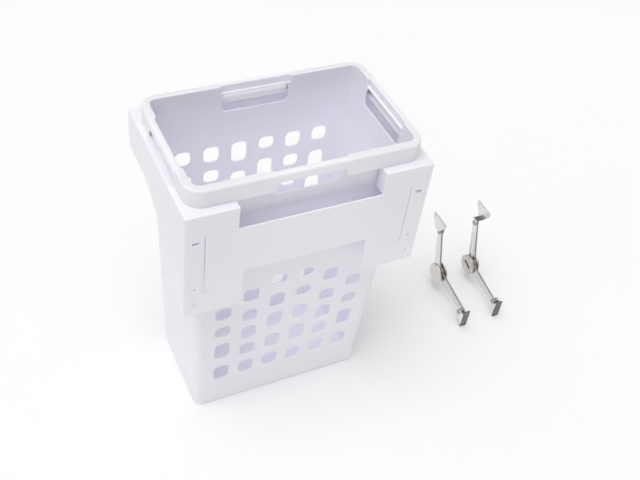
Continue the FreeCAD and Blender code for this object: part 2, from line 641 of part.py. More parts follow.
class Stay:
    """One flap stay: two arms that fold at a friction hub, between a foot and a top bracket.

    Pieces are drawn about their own pivot. Their layers are counted from the arms' middle
    towards the cap, which is on the left of the left stay and on the right of the right stay.
    """

    def __init__(self, name, across, cap_on_left):
        self.name = name
        self.across = across
        self.cap_on_left = cap_on_left
        hub_z = "(<foot_rise> + <arm_length> * sin(<lower_angle> * 1 deg))"
        self.foot = (
            "<stay_hub_y> - <arm_length> * cos(<lower_angle> * 1 deg)",
            f"{BASE} + <foot_rise>",
        )
        self.hub = ("<stay_hub_y>", f"{BASE} + {hub_z}")
        self.top = (
            "<stay_hub_y> + <arm_length> * cos(<upper_angle> * 1 deg)",
            f"{BASE} + {hub_z} + <arm_length> * sin(<upper_angle> * 1 deg)",
        )

    def build(self):
        """Makes every piece of the stay."""
        return [
            self.foot_bracket(),
            self.foot_rivet(),
            self.arm("lower_arm", "(-<arm_thick>)", "0", self.foot, "<lower_angle>"),
            self.washer("friction_washer", WASHER_LOW, "<washer_thick>", "<washer_size>"),
            self.arm("upper_arm", UPPER_LOW, UPPER_HIGH, self.top, "<upper_angle> + 180"),
            self.brake_cap(),
            self.brake_stud(),
            self.washer("spring_washer", SPRING_LOW, "<spring_thick>", "<spring_size>"),
            self.brake_knob(),
            self.top_bracket(),
            self.rivet("top_rivet", self.top, TOP_LUG_LOW, UPPER_HIGH, "high"),
        ]

    def body(self, piece, place):
        """A body whose origin is at a pivot."""
        body = new_body(f"{self.name}_{piece}")
        body.setExpression(".Placement.Base.x", bind(self.across))
        body.setExpression(".Placement.Base.y", bind(place[0]))
        body.setExpression(".Placement.Base.z", bind(place[1]))
        return body

    def turn(self, body, slope):
        """Turns a body about its pivot, from level up towards the back."""
        body.Placement.Rotation = Rotation(Vector(1, 0, 0), 1.0)
        body.setExpression(".Placement.Rotation.Angle", bind(slope, "deg"))

    def layer(self, body, name, low, high):
        """A sketch seen from the right, for material between two layers."""
        lift = f"-({high})" if self.cap_on_left else low
        return new_sketch(body, name, "YZ_Plane", lift=lift)

    def sideways(self, low, high):
        """A span of layers as a span along X."""
        return (f"-({high})", f"-({low})") if self.cap_on_left else (low, high)

    def disc(self, body, name, low, high, radius, y="0"):
        """Adds a round disc between two layers."""
        sketch = self.layer(body, name, low, high)
        circle(sketch, y, "0", radius)
        return pad(sketch, f"({high}) - ({low})")

    def bore(self, body, name, low, high, radius, y="0"):
        """Cuts a round hole through the layers."""
        sketch = self.layer(body, name, low, high)
        circle(sketch, y, "0", radius)
        return pocket(sketch, f"({high}) - ({low})", backwards=True)

    def washer(self, piece, low, thickness, diameter):
        """A flat ring on the hub's stud."""
        body = self.body(piece, self.hub)
        high = f"{low} + {thickness}"
        self.disc(body, "ring", low, high, f"{diameter} / 2")
        self.bore(body, "hole", low, high, STUD_BORE)
        return body

    def arm(self, piece, low, high, pivot, slope):
        """An arm that runs from its pivot to the hub."""
        body = self.body(piece, pivot)
        self.turn(body, slope)
        self.disc(body, "tip", low, high, "<arm_tip> / 2")
        bar = self.layer(body, "bar", low, high)
        corners = (
            ("0", "-<arm_tip> / 2"),
            ("<arm_length>", "-<arm_root> / 2"),
            ("<arm_length>", "<arm_root> / 2"),
            ("0", "<arm_tip> / 2"),
        )
        outline(bar, [(value_of(y), value_of(z)) for y, z in corners], corners)
        pad(bar, f"({high}) - ({low})")
        self.disc(body, "eye", low, high, "<hub_eye> / 2", y="<arm_length>")
        self.bore(body, "pivot_hole", low, high, RIVET_BORE)
        self.bore(body, "hub_hole", low, high, STUD_BORE, y="<arm_length>")
        return body

    def rivet(self, piece, place, low, high, gap_side):
        """A pivot rivet with a head each side; the head beside the arm stands off it."""
        body = self.body(piece, place)
        below = f"{low} - <side_gap>" if gap_side == "low" else low
        above = f"{high} + <side_gap>" if gap_side == "high" else high
        self.disc(body, "shank", below, above, "<rivet_size> / 2")
        self.disc(body, "low_head", f"{below} - <rivet_head_thick>", below, "<rivet_head> / 2")
        self.disc(body, "high_head", above, f"{above} + <rivet_head_thick>", "<rivet_head> / 2")
        return body

    def foot_rivet(self):
        """The foot pivot's rivet, with a collar that holds the lug off the lower arm."""
        body = self.rivet("foot_rivet", self.foot, "(-<arm_thick>)", FOOT_LUG_HIGH, "low")
        self.disc(body, "collar", "<side_gap>", FOOT_LUG_LOW, "<rivet_head> / 2")
        return body

    def rounded_disc(self, body, low, high, outer_is_high):
        """A disc of the cap's size, rounded along its outer face."""
        base = self.disc(body, "disc", low, high, "<cap_size> / 2")
        outer = value_of(high) if outer_is_high else value_of(low)
        outer_x = -outer if self.cap_on_left else outer

        def on_outer_face(edge):
            box = edge.BoundBox
            return abs(box.XMin - outer_x) < 1e-4 and abs(box.XMax - outer_x) < 1e-4

        round_edges(body, base, "<cap_round>", on_outer_face)

    def brake_cap(self):
        """The plain cap over the hub, hollowed for the stud's head."""
        body = self.body("brake_cap", self.hub)
        self.rounded_disc(body, UPPER_HIGH, CAP_HIGH, outer_is_high=True)
        seat = f"{UPPER_HIGH} + <stud_head_thick>"
        self.bore(body, "head_seat", UPPER_HIGH, seat, "<stud_head> / 2 + <running_gap>")
        return body

    def brake_stud(self):
        """The stud that holds the hub together, its head in the cap and its end in the knob."""
        body = self.body("brake_stud", self.hub)
        end = f"({KNOB_HIGH} - <stud_end>)"
        self.disc(body, "shank", end, UPPER_HIGH, "<stud_size> / 2")
        head = f"({UPPER_HIGH} + <stud_head_thick>)"
        self.disc(body, "head", UPPER_HIGH, head, "<stud_head> / 2")
        return body

    def brake_knob(self):
        """The knob that sets the brake, with a coin slot in its face."""
        body = self.body("brake_knob", self.hub)
        self.turn(body, "<coin_slot_slope>")
        self.rounded_disc(body, KNOB_LOW, KNOB_HIGH, outer_is_high=False)
        seat = f"({KNOB_HIGH} - <stud_end> - <running_gap>)"
        self.bore(body, "stud_hole", seat, KNOB_HIGH, STUD_BORE)
        slot = self.layer(body, "coin_slot", KNOB_LOW, f"{KNOB_LOW} + <coin_slot_depth>")
        level_slot(slot, "0", "0", "<coin_slot_length>", "<coin_slot_width>")
        pocket(slot, "<coin_slot_depth>", backwards=True)
        return body

    def top_bracket(self):
        """The bracket for the cabinet's side: a pivot lug, a fold and a plate that widens upwards."""
        body = self.body("top_bracket", self.top)
        plate_high = "(<bracket_offset> + <sheet_thick>)"
        self.disc(body, "lug_end", TOP_LUG_LOW, TOP_LUG_HIGH, "<lug_width> / 2")
        lug = self.layer(body, "lug", TOP_LUG_LOW, TOP_LUG_HIGH)
        fold_top = "<bracket_fold> + <sheet_thick>"
        rectangle(lug, "-<lug_width> / 2", "<lug_width> / 2", "0", fold_top)
        pad(lug, "<sheet_thick>")
        fold = self.layer(body, "fold", TOP_LUG_LOW, plate_high)
        rectangle(fold, "-<lug_width> / 2", "<lug_width> / 2", "<bracket_fold>", fold_top)
        pad(fold, f"{plate_high} - {TOP_LUG_LOW}")
        plate = self.layer(body, "plate", "<bracket_offset>", plate_high)
        cheek = "<bracket_height> - <bracket_cheek>"
        corners = (
            ("-<lug_width> / 2", "<bracket_fold>"),
            ("<lug_width> / 2", "<bracket_fold>"),
            ("<bracket_length> / 2", cheek),
            ("<bracket_length> / 2", "<bracket_height>"),
            ("-<bracket_length> / 2", "<bracket_height>"),
            ("-<bracket_length> / 2", cheek),
        )
        outline(plate, [(value_of(y), value_of(z)) for y, z in corners], corners)
        base = pad(plate, "<sheet_thick>")
        levels = (value_of("<bracket_height>"), value_of(cheek))

        def at_outer_corner(edge):
            return any(at_level_across(edge, level, size("sheet_thick")) for level in levels)

        round_edges(body, base, "<bracket_round>", at_outer_corner)
        holes = self.layer(body, "screw_holes", "<bracket_offset>", plate_high)
        for side in ("", "-"):
            y = f"{side}<bracket_hole_spread> / 2"
            circle(holes, y, "<bracket_height> - <bracket_hole_inset>", "<bracket_hole> / 2")
        pocket(holes, "<sheet_thick>", backwards=True)
        self.bore(body, "pivot_hole", TOP_LUG_LOW, TOP_LUG_HIGH, RIVET_BORE)
        return body

    def foot_bracket(self):
        """The angle for the cabinet front: a plate for its screws and a lug for the lower arm."""
        body = self.body("foot_bracket", self.foot)
        low_end = "-<foot_rise>"
        high_end = "<foot_height> - <foot_rise>"
        plate_low = f"({FOOT_LUG_HIGH} - <foot_width>)"
        left, right = self.sideways(plate_low, FOOT_LUG_HIGH)
        plate = new_sketch(body, "plate", "XZ_Plane", lift="<foot_reach> - <sheet_thick>")
        rectangle(plate, left, right, low_end, high_end)
        base = pad(plate, "<sheet_thick>")
        ends = (value_of(left), value_of(right))

        def at_corner(edge):
            return any(through_sheet(edge, x, size("sheet_thick")) for x in ends)

        round_edges(body, base, "<bracket_round>", at_corner)
        self.disc(body, "lug_end", FOOT_LUG_LOW, FOOT_LUG_HIGH, "<lug_width> / 2")
        lug = self.layer(body, "lug", FOOT_LUG_LOW, FOOT_LUG_HIGH)
        corners = (
            ("-<foot_reach>", f"{low_end} + <bracket_round>"),
            ("<lug_width> / 4", "-<lug_width> / 3"),
            ("0", "<lug_width> / 2"),
            ("-<foot_reach>", "<lug_width> / 2"),
        )
        outline(lug, [(value_of(y), value_of(z)) for y, z in corners], corners)
        pad(lug, "<sheet_thick>")
        holes = new_sketch(body, "screw_holes", "XZ_Plane", lift="<foot_reach>")
        for side in ("", "-"):
            z = f"({high_end} + {low_end}) / 2 + {side}<foot_hole_spread> / 2"
            circle(holes, f"({left} + {right}) / 2", z, "<bracket_hole> / 2")
        pocket(holes, "<sheet_thick>")
        self.bore(body, "pivot_hole", FOOT_LUG_LOW, FOOT_LUG_HIGH, RIVET_BORE)
        return body


def at_level_across(edge, level, length):
    """Whether an edge is a short one across the sheet metal at a height."""
    return at_level(edge, level) and abs(edge.BoundBox.XLength - length) < 1e-4


def through_sheet(edge, x, length):
    """Whether an edge runs front to back through the sheet metal at a place along X."""
    box = edge.BoundBox
    return abs(box.XMin - x) < 1e-4 and abs(box.XMax - x) < 1e-4 and abs(box.YLength - length) < 1e-4


def check_document():
    """Stops if any object of the document failed."""
    for item in doc.Objects:
        if "Invalid" in item.State or "Error" in item.State:
            raise RuntimeError(f"{item.Label} failed: {item.State}")


def check_piece(piece):
    """Stops if a piece has no shape, a bad shape or more than one solid."""
    shape = piece.Shape
    if shape.isNull() or not shape.isValid():
        raise RuntimeError(f"{piece.Label} has no valid shape")
    if len(shape.Solids) != 1:
        raise RuntimeError(f"{piece.Label} has {len(shape.Solids)} solids")


def main():
    fill_sheet()
    pieces = [carrier_frame(), basket()]
    left_x = "<plate_width> / 2 + <stay_left_x>"
    pieces += Stay("left_stay", left_x, cap_on_left=True).build()
    pieces += Stay("right_stay", f"{left_x} + <stay_spread>", cap_on_left=False).build()
    doc.recompute()
    check_document()
    os.makedirs("parts", exist_ok=True)
    for piece in pieces:
        check_piece(piece)
        piece.Shape.exportStep(f"parts/{piece.Label}.step")
        box = piece.Shape.BoundBox
        corner = f"{box.XMin:.1f} {box.YMin:.1f} {box.ZMin:.1f}"
        print(piece.Label, corner, f"{box.XLength:.1f} x {box.YLength:.1f} x {box.ZLength:.1f}")


main()
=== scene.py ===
"""Looks of a laundry basket that hangs in a moulded carrier, with its pair of flap stays.

Sizes are in millimetres in the fields and become metres where a mesh is made. The frame is the
part's own: the origin is the centre of the carrier's front plate, X runs along the plate, Y runs
back into the cabinet and Z is up.
"""

import logging
import math
from dataclasses import dataclass
from enum import Enum
from typing import Callable, Sequence

import bmesh
import bpy
from mathutils import Matrix, Vector


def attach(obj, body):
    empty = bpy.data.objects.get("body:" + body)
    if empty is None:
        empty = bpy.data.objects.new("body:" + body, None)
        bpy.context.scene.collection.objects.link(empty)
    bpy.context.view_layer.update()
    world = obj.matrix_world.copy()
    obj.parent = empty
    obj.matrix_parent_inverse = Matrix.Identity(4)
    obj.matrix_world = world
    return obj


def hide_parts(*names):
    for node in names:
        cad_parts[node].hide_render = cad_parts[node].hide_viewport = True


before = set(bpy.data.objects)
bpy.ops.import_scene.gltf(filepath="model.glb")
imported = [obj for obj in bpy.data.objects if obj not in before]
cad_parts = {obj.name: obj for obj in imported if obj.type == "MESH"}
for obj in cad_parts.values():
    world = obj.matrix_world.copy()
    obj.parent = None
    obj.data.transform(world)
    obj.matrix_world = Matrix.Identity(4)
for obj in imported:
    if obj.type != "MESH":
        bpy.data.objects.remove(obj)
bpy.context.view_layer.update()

LOG = logging.getLogger("laundry_basket")
MM = 0.001
X, Y, Z = range(3)

# Heights that several pieces share
FLANGE = 102.5
RIM_TOP = 133.5
BASE = -417.5

# What still counts as level, as in one plane, as one point and as flat, and from where on an
# edge is a long or a sharp one
LEVEL = 0.001
IN_PLANE = 0.01
ONE_POINT = 0.01
FLAT_DEGREES = 0.3
LONG = 0.5
SHARP_DEGREES = 38.0

Piece = bpy.types.Object
Material = bpy.types.Material
Node = bpy.types.Node
Point = Sequence[float]
Pair = tuple[float, float]
Colour = tuple[float, float, float]

WHITE: Colour = (0.91, 0.904, 0.968)
WHITE_SHADE: Colour = (0.895, 0.889, 0.953)

# The metal of each field of StayFinishes: name, two colours and two ends of its roughness
METALS = {
    "arm": ("satin_nickel", (0.92, 0.905, 0.89), (0.86, 0.845, 0.83), 0.30, 0.42),
    # The edge row is painted shade: a darker metal for the side faces of arms and brackets
    "edge": ("painted_shade_edge", (0.42, 0.40, 0.39), (0.34, 0.32, 0.31), 0.42, 0.55),
    "cap": ("cap_nickel", (0.79, 0.76, 0.735), (0.74, 0.71, 0.69), 0.28, 0.38),
    "knob": ("knob_nickel", (0.72, 0.69, 0.67), (0.56, 0.54, 0.52), 0.30, 0.42),
    "rivet": ("rivet_nickel", (0.50, 0.48, 0.46), (0.40, 0.38, 0.37), 0.24, 0.34),
    # The bracket row is painted shade: a dark metal for the top bracket's fold and the foot
    # bracket's plate
    "bracket": ("dark_nickel", (0.23, 0.22, 0.22), (0.17, 0.16, 0.16), 0.40, 0.52),
    # The black row is painted shade: near-black steel for the lower rims in the hub and the coin
    # slot
    "black": ("shadowed_steel", (0.05, 0.05, 0.05), (0.03, 0.03, 0.03), 0.50, 0.65),
}


class Side(Enum):
    """Which way a stay's cap faces: towards -X on the left stay, towards +X on the right."""

    LEFT = -1
    RIGHT = 1


class Cut(Enum):
    """What a Boolean modifier does with its second shape."""

    AWAY = "DIFFERENCE"
    JOIN = "UNION"


# Shaping tools


def deselect_all() -> None:
    """Leaves edit mode and leaves no object selected."""
    if bpy.context.object and bpy.context.object.mode != "OBJECT":
        bpy.ops.object.mode_set(mode="OBJECT")
    bpy.ops.object.select_all(action="DESELECT")


def pick(piece: Piece) -> None:
    """Makes one object the only one selected, and active."""
    deselect_all()
    piece.select_set(True)
    bpy.context.view_layer.objects.active = piece


def settle(piece: Piece) -> None:
    """Moves an object's place, turn and scale into its mesh."""
    pick(piece)
    bpy.ops.object.transform_apply(location=True, rotation=True, scale=True)


def block(name: str, low: Point, high: Point) -> Piece:
    """Adds a block between two corners.

    Args:
        name: the new object's name.
        low: its lowest corner, in millimetres.
        high: its highest corner, in millimetres.

    Returns:
        The block, with its place in its mesh.
    """
    deselect_all()
    middle = [(a + b) / 2 * MM for a, b in zip(low, high)]
    bpy.ops.mesh.primitive_cube_add(size=1, location=middle)
    piece = bpy.context.object
    piece.name = name
    piece.scale = [(b - a) * MM for a, b in zip(low, high)]
    settle(piece)
    return piece


def rod(name: str, centre: Point, radius: float, length: float, axis: int, sides: int) -> Piece:
    """Adds a round rod about a centre.

    Args:
        name: the new object's name.
        centre: the middle of the rod, in millimetres.
        radius: its radius, in millimetres.
        length: its length, in millimetres.
        axis: the axis that it runs along, X or Y.
        sides: how many flats stand for the round.

    Returns:
        The rod, with its place in its mesh.
    """
    deselect_all()
    turns = {X: (0, math.pi / 2, 0), Y: (math.pi / 2, 0, 0)}
    bpy.ops.mesh.primitive_cylinder_add(
        vertices=sides,
        radius=radius * MM,
        depth=length * MM,
        location=[v * MM for v in centre],
        rotation=turns[axis],
    )
    piece = bpy.context.object
    piece.name = name
    settle(piece)
    return piece


EdgeTest = Callable[[Vector, Vector], bool]


def edit(piece: Piece, wanted: EdgeTest, tool: Callable[..., object], **how: object) -> Piece:
    """Uses a tool in edit mode on the edges whose two ends pass a test.

    Args:
        piece: the object to edit.
        wanted: takes an edge's two ends in millimetres.
        tool: the tool.
        how: the tool's settings by name.

    Returns:
        The same object.
    """
    pick(piece)
    bpy.ops.object.mode_set(mode="EDIT")
    bpy.ops.mesh.select_mode(type="EDGE")
    bpy.ops.mesh.select_all(action="DESELECT")
    mesh = bmesh.from_edit_mesh(piece.data)
    for edge in mesh.edges:
        edge.select_set(wanted(edge.verts[0].co / MM, edge.verts[1].co / MM))
    mesh.select_flush_mode()
    bmesh.update_edit_mesh(piece.data)
    tool(**how)
    bpy.ops.object.mode_set(mode="OBJECT")
    return piece


def runs_along(axis: int) -> EdgeTest:
    """A test for edges that run along one axis."""

    def test(a: Vector, b: Vector) -> bool:
        level = all(abs(a[i] - b[i]) < LEVEL for i in (X, Y, Z) if i != axis)
        return level and abs(a[axis] - b[axis]) > LONG

    return test


def lies_at(axis: int, place: float) -> EdgeTest:
    """A test for edges that lie in the plane at a place along one axis."""
    return lambda a, b: max(abs(a[axis] - place), abs(b[axis] - place)) < IN_PLANE


def round_edges(piece: Piece, radius: float, segments: int, wanted: EdgeTest) -> Piece:
    """Rounds the edges that pass a test, by a radius in millimetres and with so many flats."""
    bevel = bpy.ops.mesh.bevel
    return edit(piece, wanted, bevel, offset=radius * MM, segments=segments, affect="EDGES")


def rounded_block(
    name: str, low: Point, high: Point, axis: int, radius: float, segments: int
) -> Piece:
    """Adds a block whose four edges along one axis are rounded.

    Args:
        name: the new object's name.
        low: its lowest corner, in millimetres.
        high: its highest corner, in millimetres.
        axis: the axis that the rounded edges run along.
        radius: their radius, in millimetres.
        segments: how many flats stand for each.

    Returns:
        The block.
    """
    return round_edges(block(name, low, high), radius, segments, runs_along(axis))


def stretch_end(piece: Piece, end: EdgeTest, factors: Point, centre: Point) -> Piece:
    """Stretches the edges that pass a test, about a centre in millimetres."""
    fixed = [v * MM for v in centre]
    return edit(piece, end, bpy.ops.transform.resize, value=factors, center_override=fixed)


def shift_end(piece: Piece, end: EdgeTest, way: Point) -> Piece:
    """Moves the edges that pass a test, along a way in millimetres."""
    return edit(piece, end, bpy.ops.transform.translate, value=[v * MM for v in way])


def raise_end(piece: Piece, level: float, height: float) -> Piece:
    """Extrudes the end of a piece that lies at a level, upwards by a height in millimetres."""
    up = {"value": (0, 0, height * MM)}
    extrude = bpy.ops.mesh.extrude_region_move
    return edit(piece, lies_at(Z, level), extrude, TRANSFORM_OT_translate=up)


def spread(piece: Piece, level: float, size: Pair, middle: Pair) -> Piece:
    """Spreads a prism's end at one level to another width and depth.

    Args:
        piece: the prism.
        level: the height of the end to spread, in millimetres.
        size: the width and depth that it gets, in millimetres.
        middle: where its middle goes, along X and Y, in millimetres.

    Returns:
        The same object.
    """
    ends = [v.co / MM for v in piece.data.vertices if abs(v.co.z / MM - level) < IN_PLANE]
    low = [min(v[i] for v in ends) for i in (X, Y)]
    high = [max(v[i] for v in ends) for i in (X, Y)]
    factors = [size[i] / (high[i] - low[i]) for i in (X, Y)]
    centre = [(low[i] + high[i]) / 2 for i in (X, Y)]
    stretch_end(piece, lies_at(Z, level), (*factors, 1), (*centre, level))
    return shift_end(piece, lies_at(Z, level), [*(middle[i] - centre[i] for i in (X, Y)), 0])


def gather(name: str, pieces: Sequence[Piece]) -> Piece:
    """Makes one object of several that don't touch."""
    deselect_all()
    for piece in pieces:
        piece.select_set(True)
    bpy.context.view_layer.objects.active = pieces[0]
    bpy.ops.object.join()
    pieces[0].name = name
    return pieces[0]


def modify(piece: Piece, kind: str, **settings: object) -> None:
    """Adds a modifier to the piece that is picked, and applies it.

    Args:
        piece: the object to change.
        kind: the modifier's type.
        settings: its properties by name.
    """
    modifier = piece.modifiers.new(kind.lower(), kind)
    for key, value in settings.items():
        setattr(modifier, key, value)
    bpy.ops.object.modifier_apply(modifier=modifier.name)


def shape_with(piece: Piece, cut: Cut, *others: Piece) -> Piece:
    """Cuts other shapes away from a piece or joins them on, in turn, and removes them.

    Args:
        piece: the object that stays.
        cut: whether to cut away or to join.
        others: the objects that are used up.

    Returns:
        The piece.
    """
    pick(piece)
    for other in others:
        modify(piece, "BOOLEAN", operation=cut.value, solver="EXACT", object=other)
        bpy.data.objects.remove(other)
    return piece


def soften(piece: Piece, width: float, segments: int = 2) -> None:
    """Gives every sharp edge its moulded or tumbled rounding, and smooth shading.

    Seams within flat faces go first, so that no rounding runs along one. Faces of more than four
    corners are split in the end, so that none spans a hole once it is turned. The large faces
    rule the shading.

    Args:
        piece: the object to finish.
        width: the rounding, in millimetres.
        segments: how many flats stand for it.
    """
    pick(piece)
    bpy.ops.object.mode_set(mode="EDIT")
    bpy.ops.mesh.select_all(action="SELECT")
    bpy.ops.mesh.remove_doubles(threshold=ONE_POINT * MM)
    bpy.ops.mesh.dissolve_limited(angle_limit=math.radians(FLAT_DEGREES))
    bpy.ops.mesh.normals_make_consistent(inside=False)
    bpy.ops.object.mode_set(mode="OBJECT")
    bpy.ops.object.shade_smooth()
    modify(
        piece,
        "BEVEL",
        limit_method="ANGLE",
        angle_limit=math.radians(SHARP_DEGREES),
        width=width * MM,
        segments=segments,
        use_clamp_overlap=False,
        loop_slide=False,
    )
    modify(piece, "TRIANGULATE", min_vertices=5)
    modify(piece, "WEIGHTED_NORMAL", weight=90, keep_sharp=False)


# Finishes


class NodeBoard:
    """A material's nodes, with short ways to add and join them."""

    def __init__(self, name: str) -> None:
        """Starts an empty material of a name, with a surface shader."""
        self.material = bpy.data.materials.new(name)
        self.material.use_nodes = True
        self.tree = self.material.node_tree
        self.tree.nodes.clear()
        self.output = self.add("ShaderNodeOutputMaterial")
        self.shader = self.add("ShaderNodeBsdfPrincipled")
        self.join(self.shader, "BSDF", self.output, "Surface")
        self.place = self.add("ShaderNodeTexCoord")

    def add(self, kind: str, **settings: object) -> Node:
        """Adds a node and sets its properties, or its inputs where a name is one."""
        node = self.tree.nodes.new(kind)
        for key, value in settings.items():
            if hasattr(node, key):
                setattr(node, key, value)
            else:
                node.inputs[key].default_value = value
        return node

    def join(self, source: Node, out: str, target: Node, into: str) -> None:
        """Links one node's output to another's input."""
        self.tree.links.new(source.outputs[out], target.inputs[into])

    def noise(self, scale: float, detail: float, stretch: Point = (1, 1, 1)) -> Node:
        """Adds a noise pattern in metres on the piece.

        Args:
            scale: how many cells to a metre.
            detail: how many finer layers.
            stretch: how much finer it is along each axis.

        Returns:
            The noise node.
        """
        mapping = self.add("ShaderNodeMapping", Scale=stretch)
        self.join(self.place, "Object", mapping, "Vector")
        pattern = self.add("ShaderNodeTexNoise", Scale=scale, Detail=detail)
        self.join(mapping, "Vector", pattern, "Vector")
        return pattern

    def spread(self, source: Node, low: float, high: float) -> Node:
        """Maps a pattern's middle range to a range of values."""
        ends = {"From Min": 0.3, "From Max": 0.7, "To Min": low, "To Max": high}
        ranged = self.add("ShaderNodeMapRange", **ends)
        self.join(source, "Fac", ranged, "Value")
        return ranged

    def tint(self, source: Node, first: Colour, second: Colour) -> None:
        """Varies the base colour between two colours by a pattern."""
        mix = self.add("ShaderNodeMix", data_type="RGBA")
        colours = [socket for socket in mix.inputs if socket.type == "RGBA"]
        colours[0].default_value = (*first, 1)
        colours[1].default_value = (*second, 1)
        ranged = self.spread(source, 0, 1)
        self.tree.links.new(ranged.outputs["Result"], mix.inputs["Factor"])
        result = next(socket for socket in mix.outputs if socket.type == "RGBA")
        self.tree.links.new(result, self.shader.inputs["Base Color"])

    def relief(self, patterns: Sequence[tuple[Node, float, float]]) -> None:
        """Raises patterns on the surface, each with its strength and its height in metres."""
        last = None
        for source, strength, height in patterns:
            bump = self.add("ShaderNodeBump", Strength=strength, Distance=height)
            self.join(source, "Fac", bump, "Height")
            if last is not None:
                self.join(last, "Normal", bump, "Normal")
            last = bump
        self.join(last, "Normal", self.shader, "Normal")


@dataclass(frozen=True)
class MouldedPlastic:
    """Smooth injection-moulded plastic with a fine spark grain and a faint flow unevenness.

    The patterns' scales are in cells to a metre, and the depth of the glow is in metres.
    """

    name: str
    colour: Colour
    shade: Colour
    gloss_low: float = 0.36
    gloss_high: float = 0.46
    grain: float = 0.05
    glow_through: float = 0.5
    glow_depth: float = 0.006
    cloud_scale: float = 7.0
    gloss_scale: float = 24.0
    flow_scale: float = 16.0
    spark_scale: float = 1900.0
    refraction: float = 1.49

    def material(self) -> Material:
        """Makes the material."""
        board = NodeBoard(self.name)
        board.tint(board.noise(self.cloud_scale, 3.0), self.colour, self.shade)
        rough = board.spread(board.noise(self.gloss_scale, 4.0), self.gloss_low, self.gloss_high)
        board.join(rough, "Result", board.shader, "Roughness")
        flow = board.noise(self.flow_scale, 2.0)
        spark = board.noise(self.spark_scale, 2.0)
        board.relief(((flow, 0.06, 0.0006), (spark, self.grain, 0.00006)))
        board.shader.inputs["IOR"].default_value = self.refraction
        board.shader.inputs["Subsurface Weight"].default_value = self.glow_through
        board.shader.inputs["Subsurface Scale"].default_value = self.glow_depth
        board.shader.inputs["Subsurface Radius"].default_value = (1.0, 1.0, 1.0)
        return board.material


@dataclass(frozen=True)
class BrushedMetal:
    """Plated steel with fine brushing along one axis and uneven gloss."""

    name: str
    colour: Colour
    shade: Colour
    gloss_low: float
    gloss_high: float
    brushing: Point = (1.0, 1.0, 12.0)
    cloud_scale: float = 60.0
    line_scale: float = 160.0
    fine_scale: float = 900.0

    def material(self) -> Material:
        """Makes the material."""
        board = NodeBoard(self.name)
        board.tint(board.noise(self.cloud_scale, 4.0), self.colour, self.shade)
        lines = board.noise(self.line_scale, 6.0, self.brushing)
        rough = board.spread(lines, self.gloss_low, self.gloss_high)
        board.join(rough, "Result", board.shader, "Roughness")
        fine = board.noise(self.fine_scale, 3.0, self.brushing)
        board.relief(((lines, 0.05, 0.00008), (fine, 0.08, 0.00002)))
        board.shader.inputs["Metallic"].default_value = 1.0
        board.shader.inputs["Anisotropic"].default_value = 0.3
        return board.material


@dataclass(frozen=True)
class PaleGround:
    """The plain pale floor that everything stands on, faintly lit from below."""

    colour: Colour = (0.93, 0.93, 0.93)
    shade: Colour = (0.922, 0.922, 0.922)
    lit: float = 0.03

    def material(self) -> Material:
        """Makes the material."""
        board = NodeBoard("pale_ground")
        board.tint(board.noise(2.0, 2.0), self.colour, self.shade)
        board.shader.inputs["Roughness"].default_value = 0.9
        board.shader.inputs["Emission Color"].default_value = (1.0, 1.0, 1.0, 1.0)
        board.shader.inputs["Emission Strength"].default_value = self.lit
        return board.material


def dress(piece: Piece, material: Material) -> None:
    """Gives an object one material all over."""
    piece.data.materials.clear()
    piece.data.materials.append(material)


FaceTest = Callable[[bpy.types.MeshPolygon], bool]


def dress_faces(piece: Piece, material: Material, wanted: FaceTest) -> None:
    """Gives the faces that pass a test another material."""
    piece.data.materials.append(material)
    for face in piece.data.polygons:
        if wanted(face):
            face.material_index = len(piece.data.materials) - 1


# The object


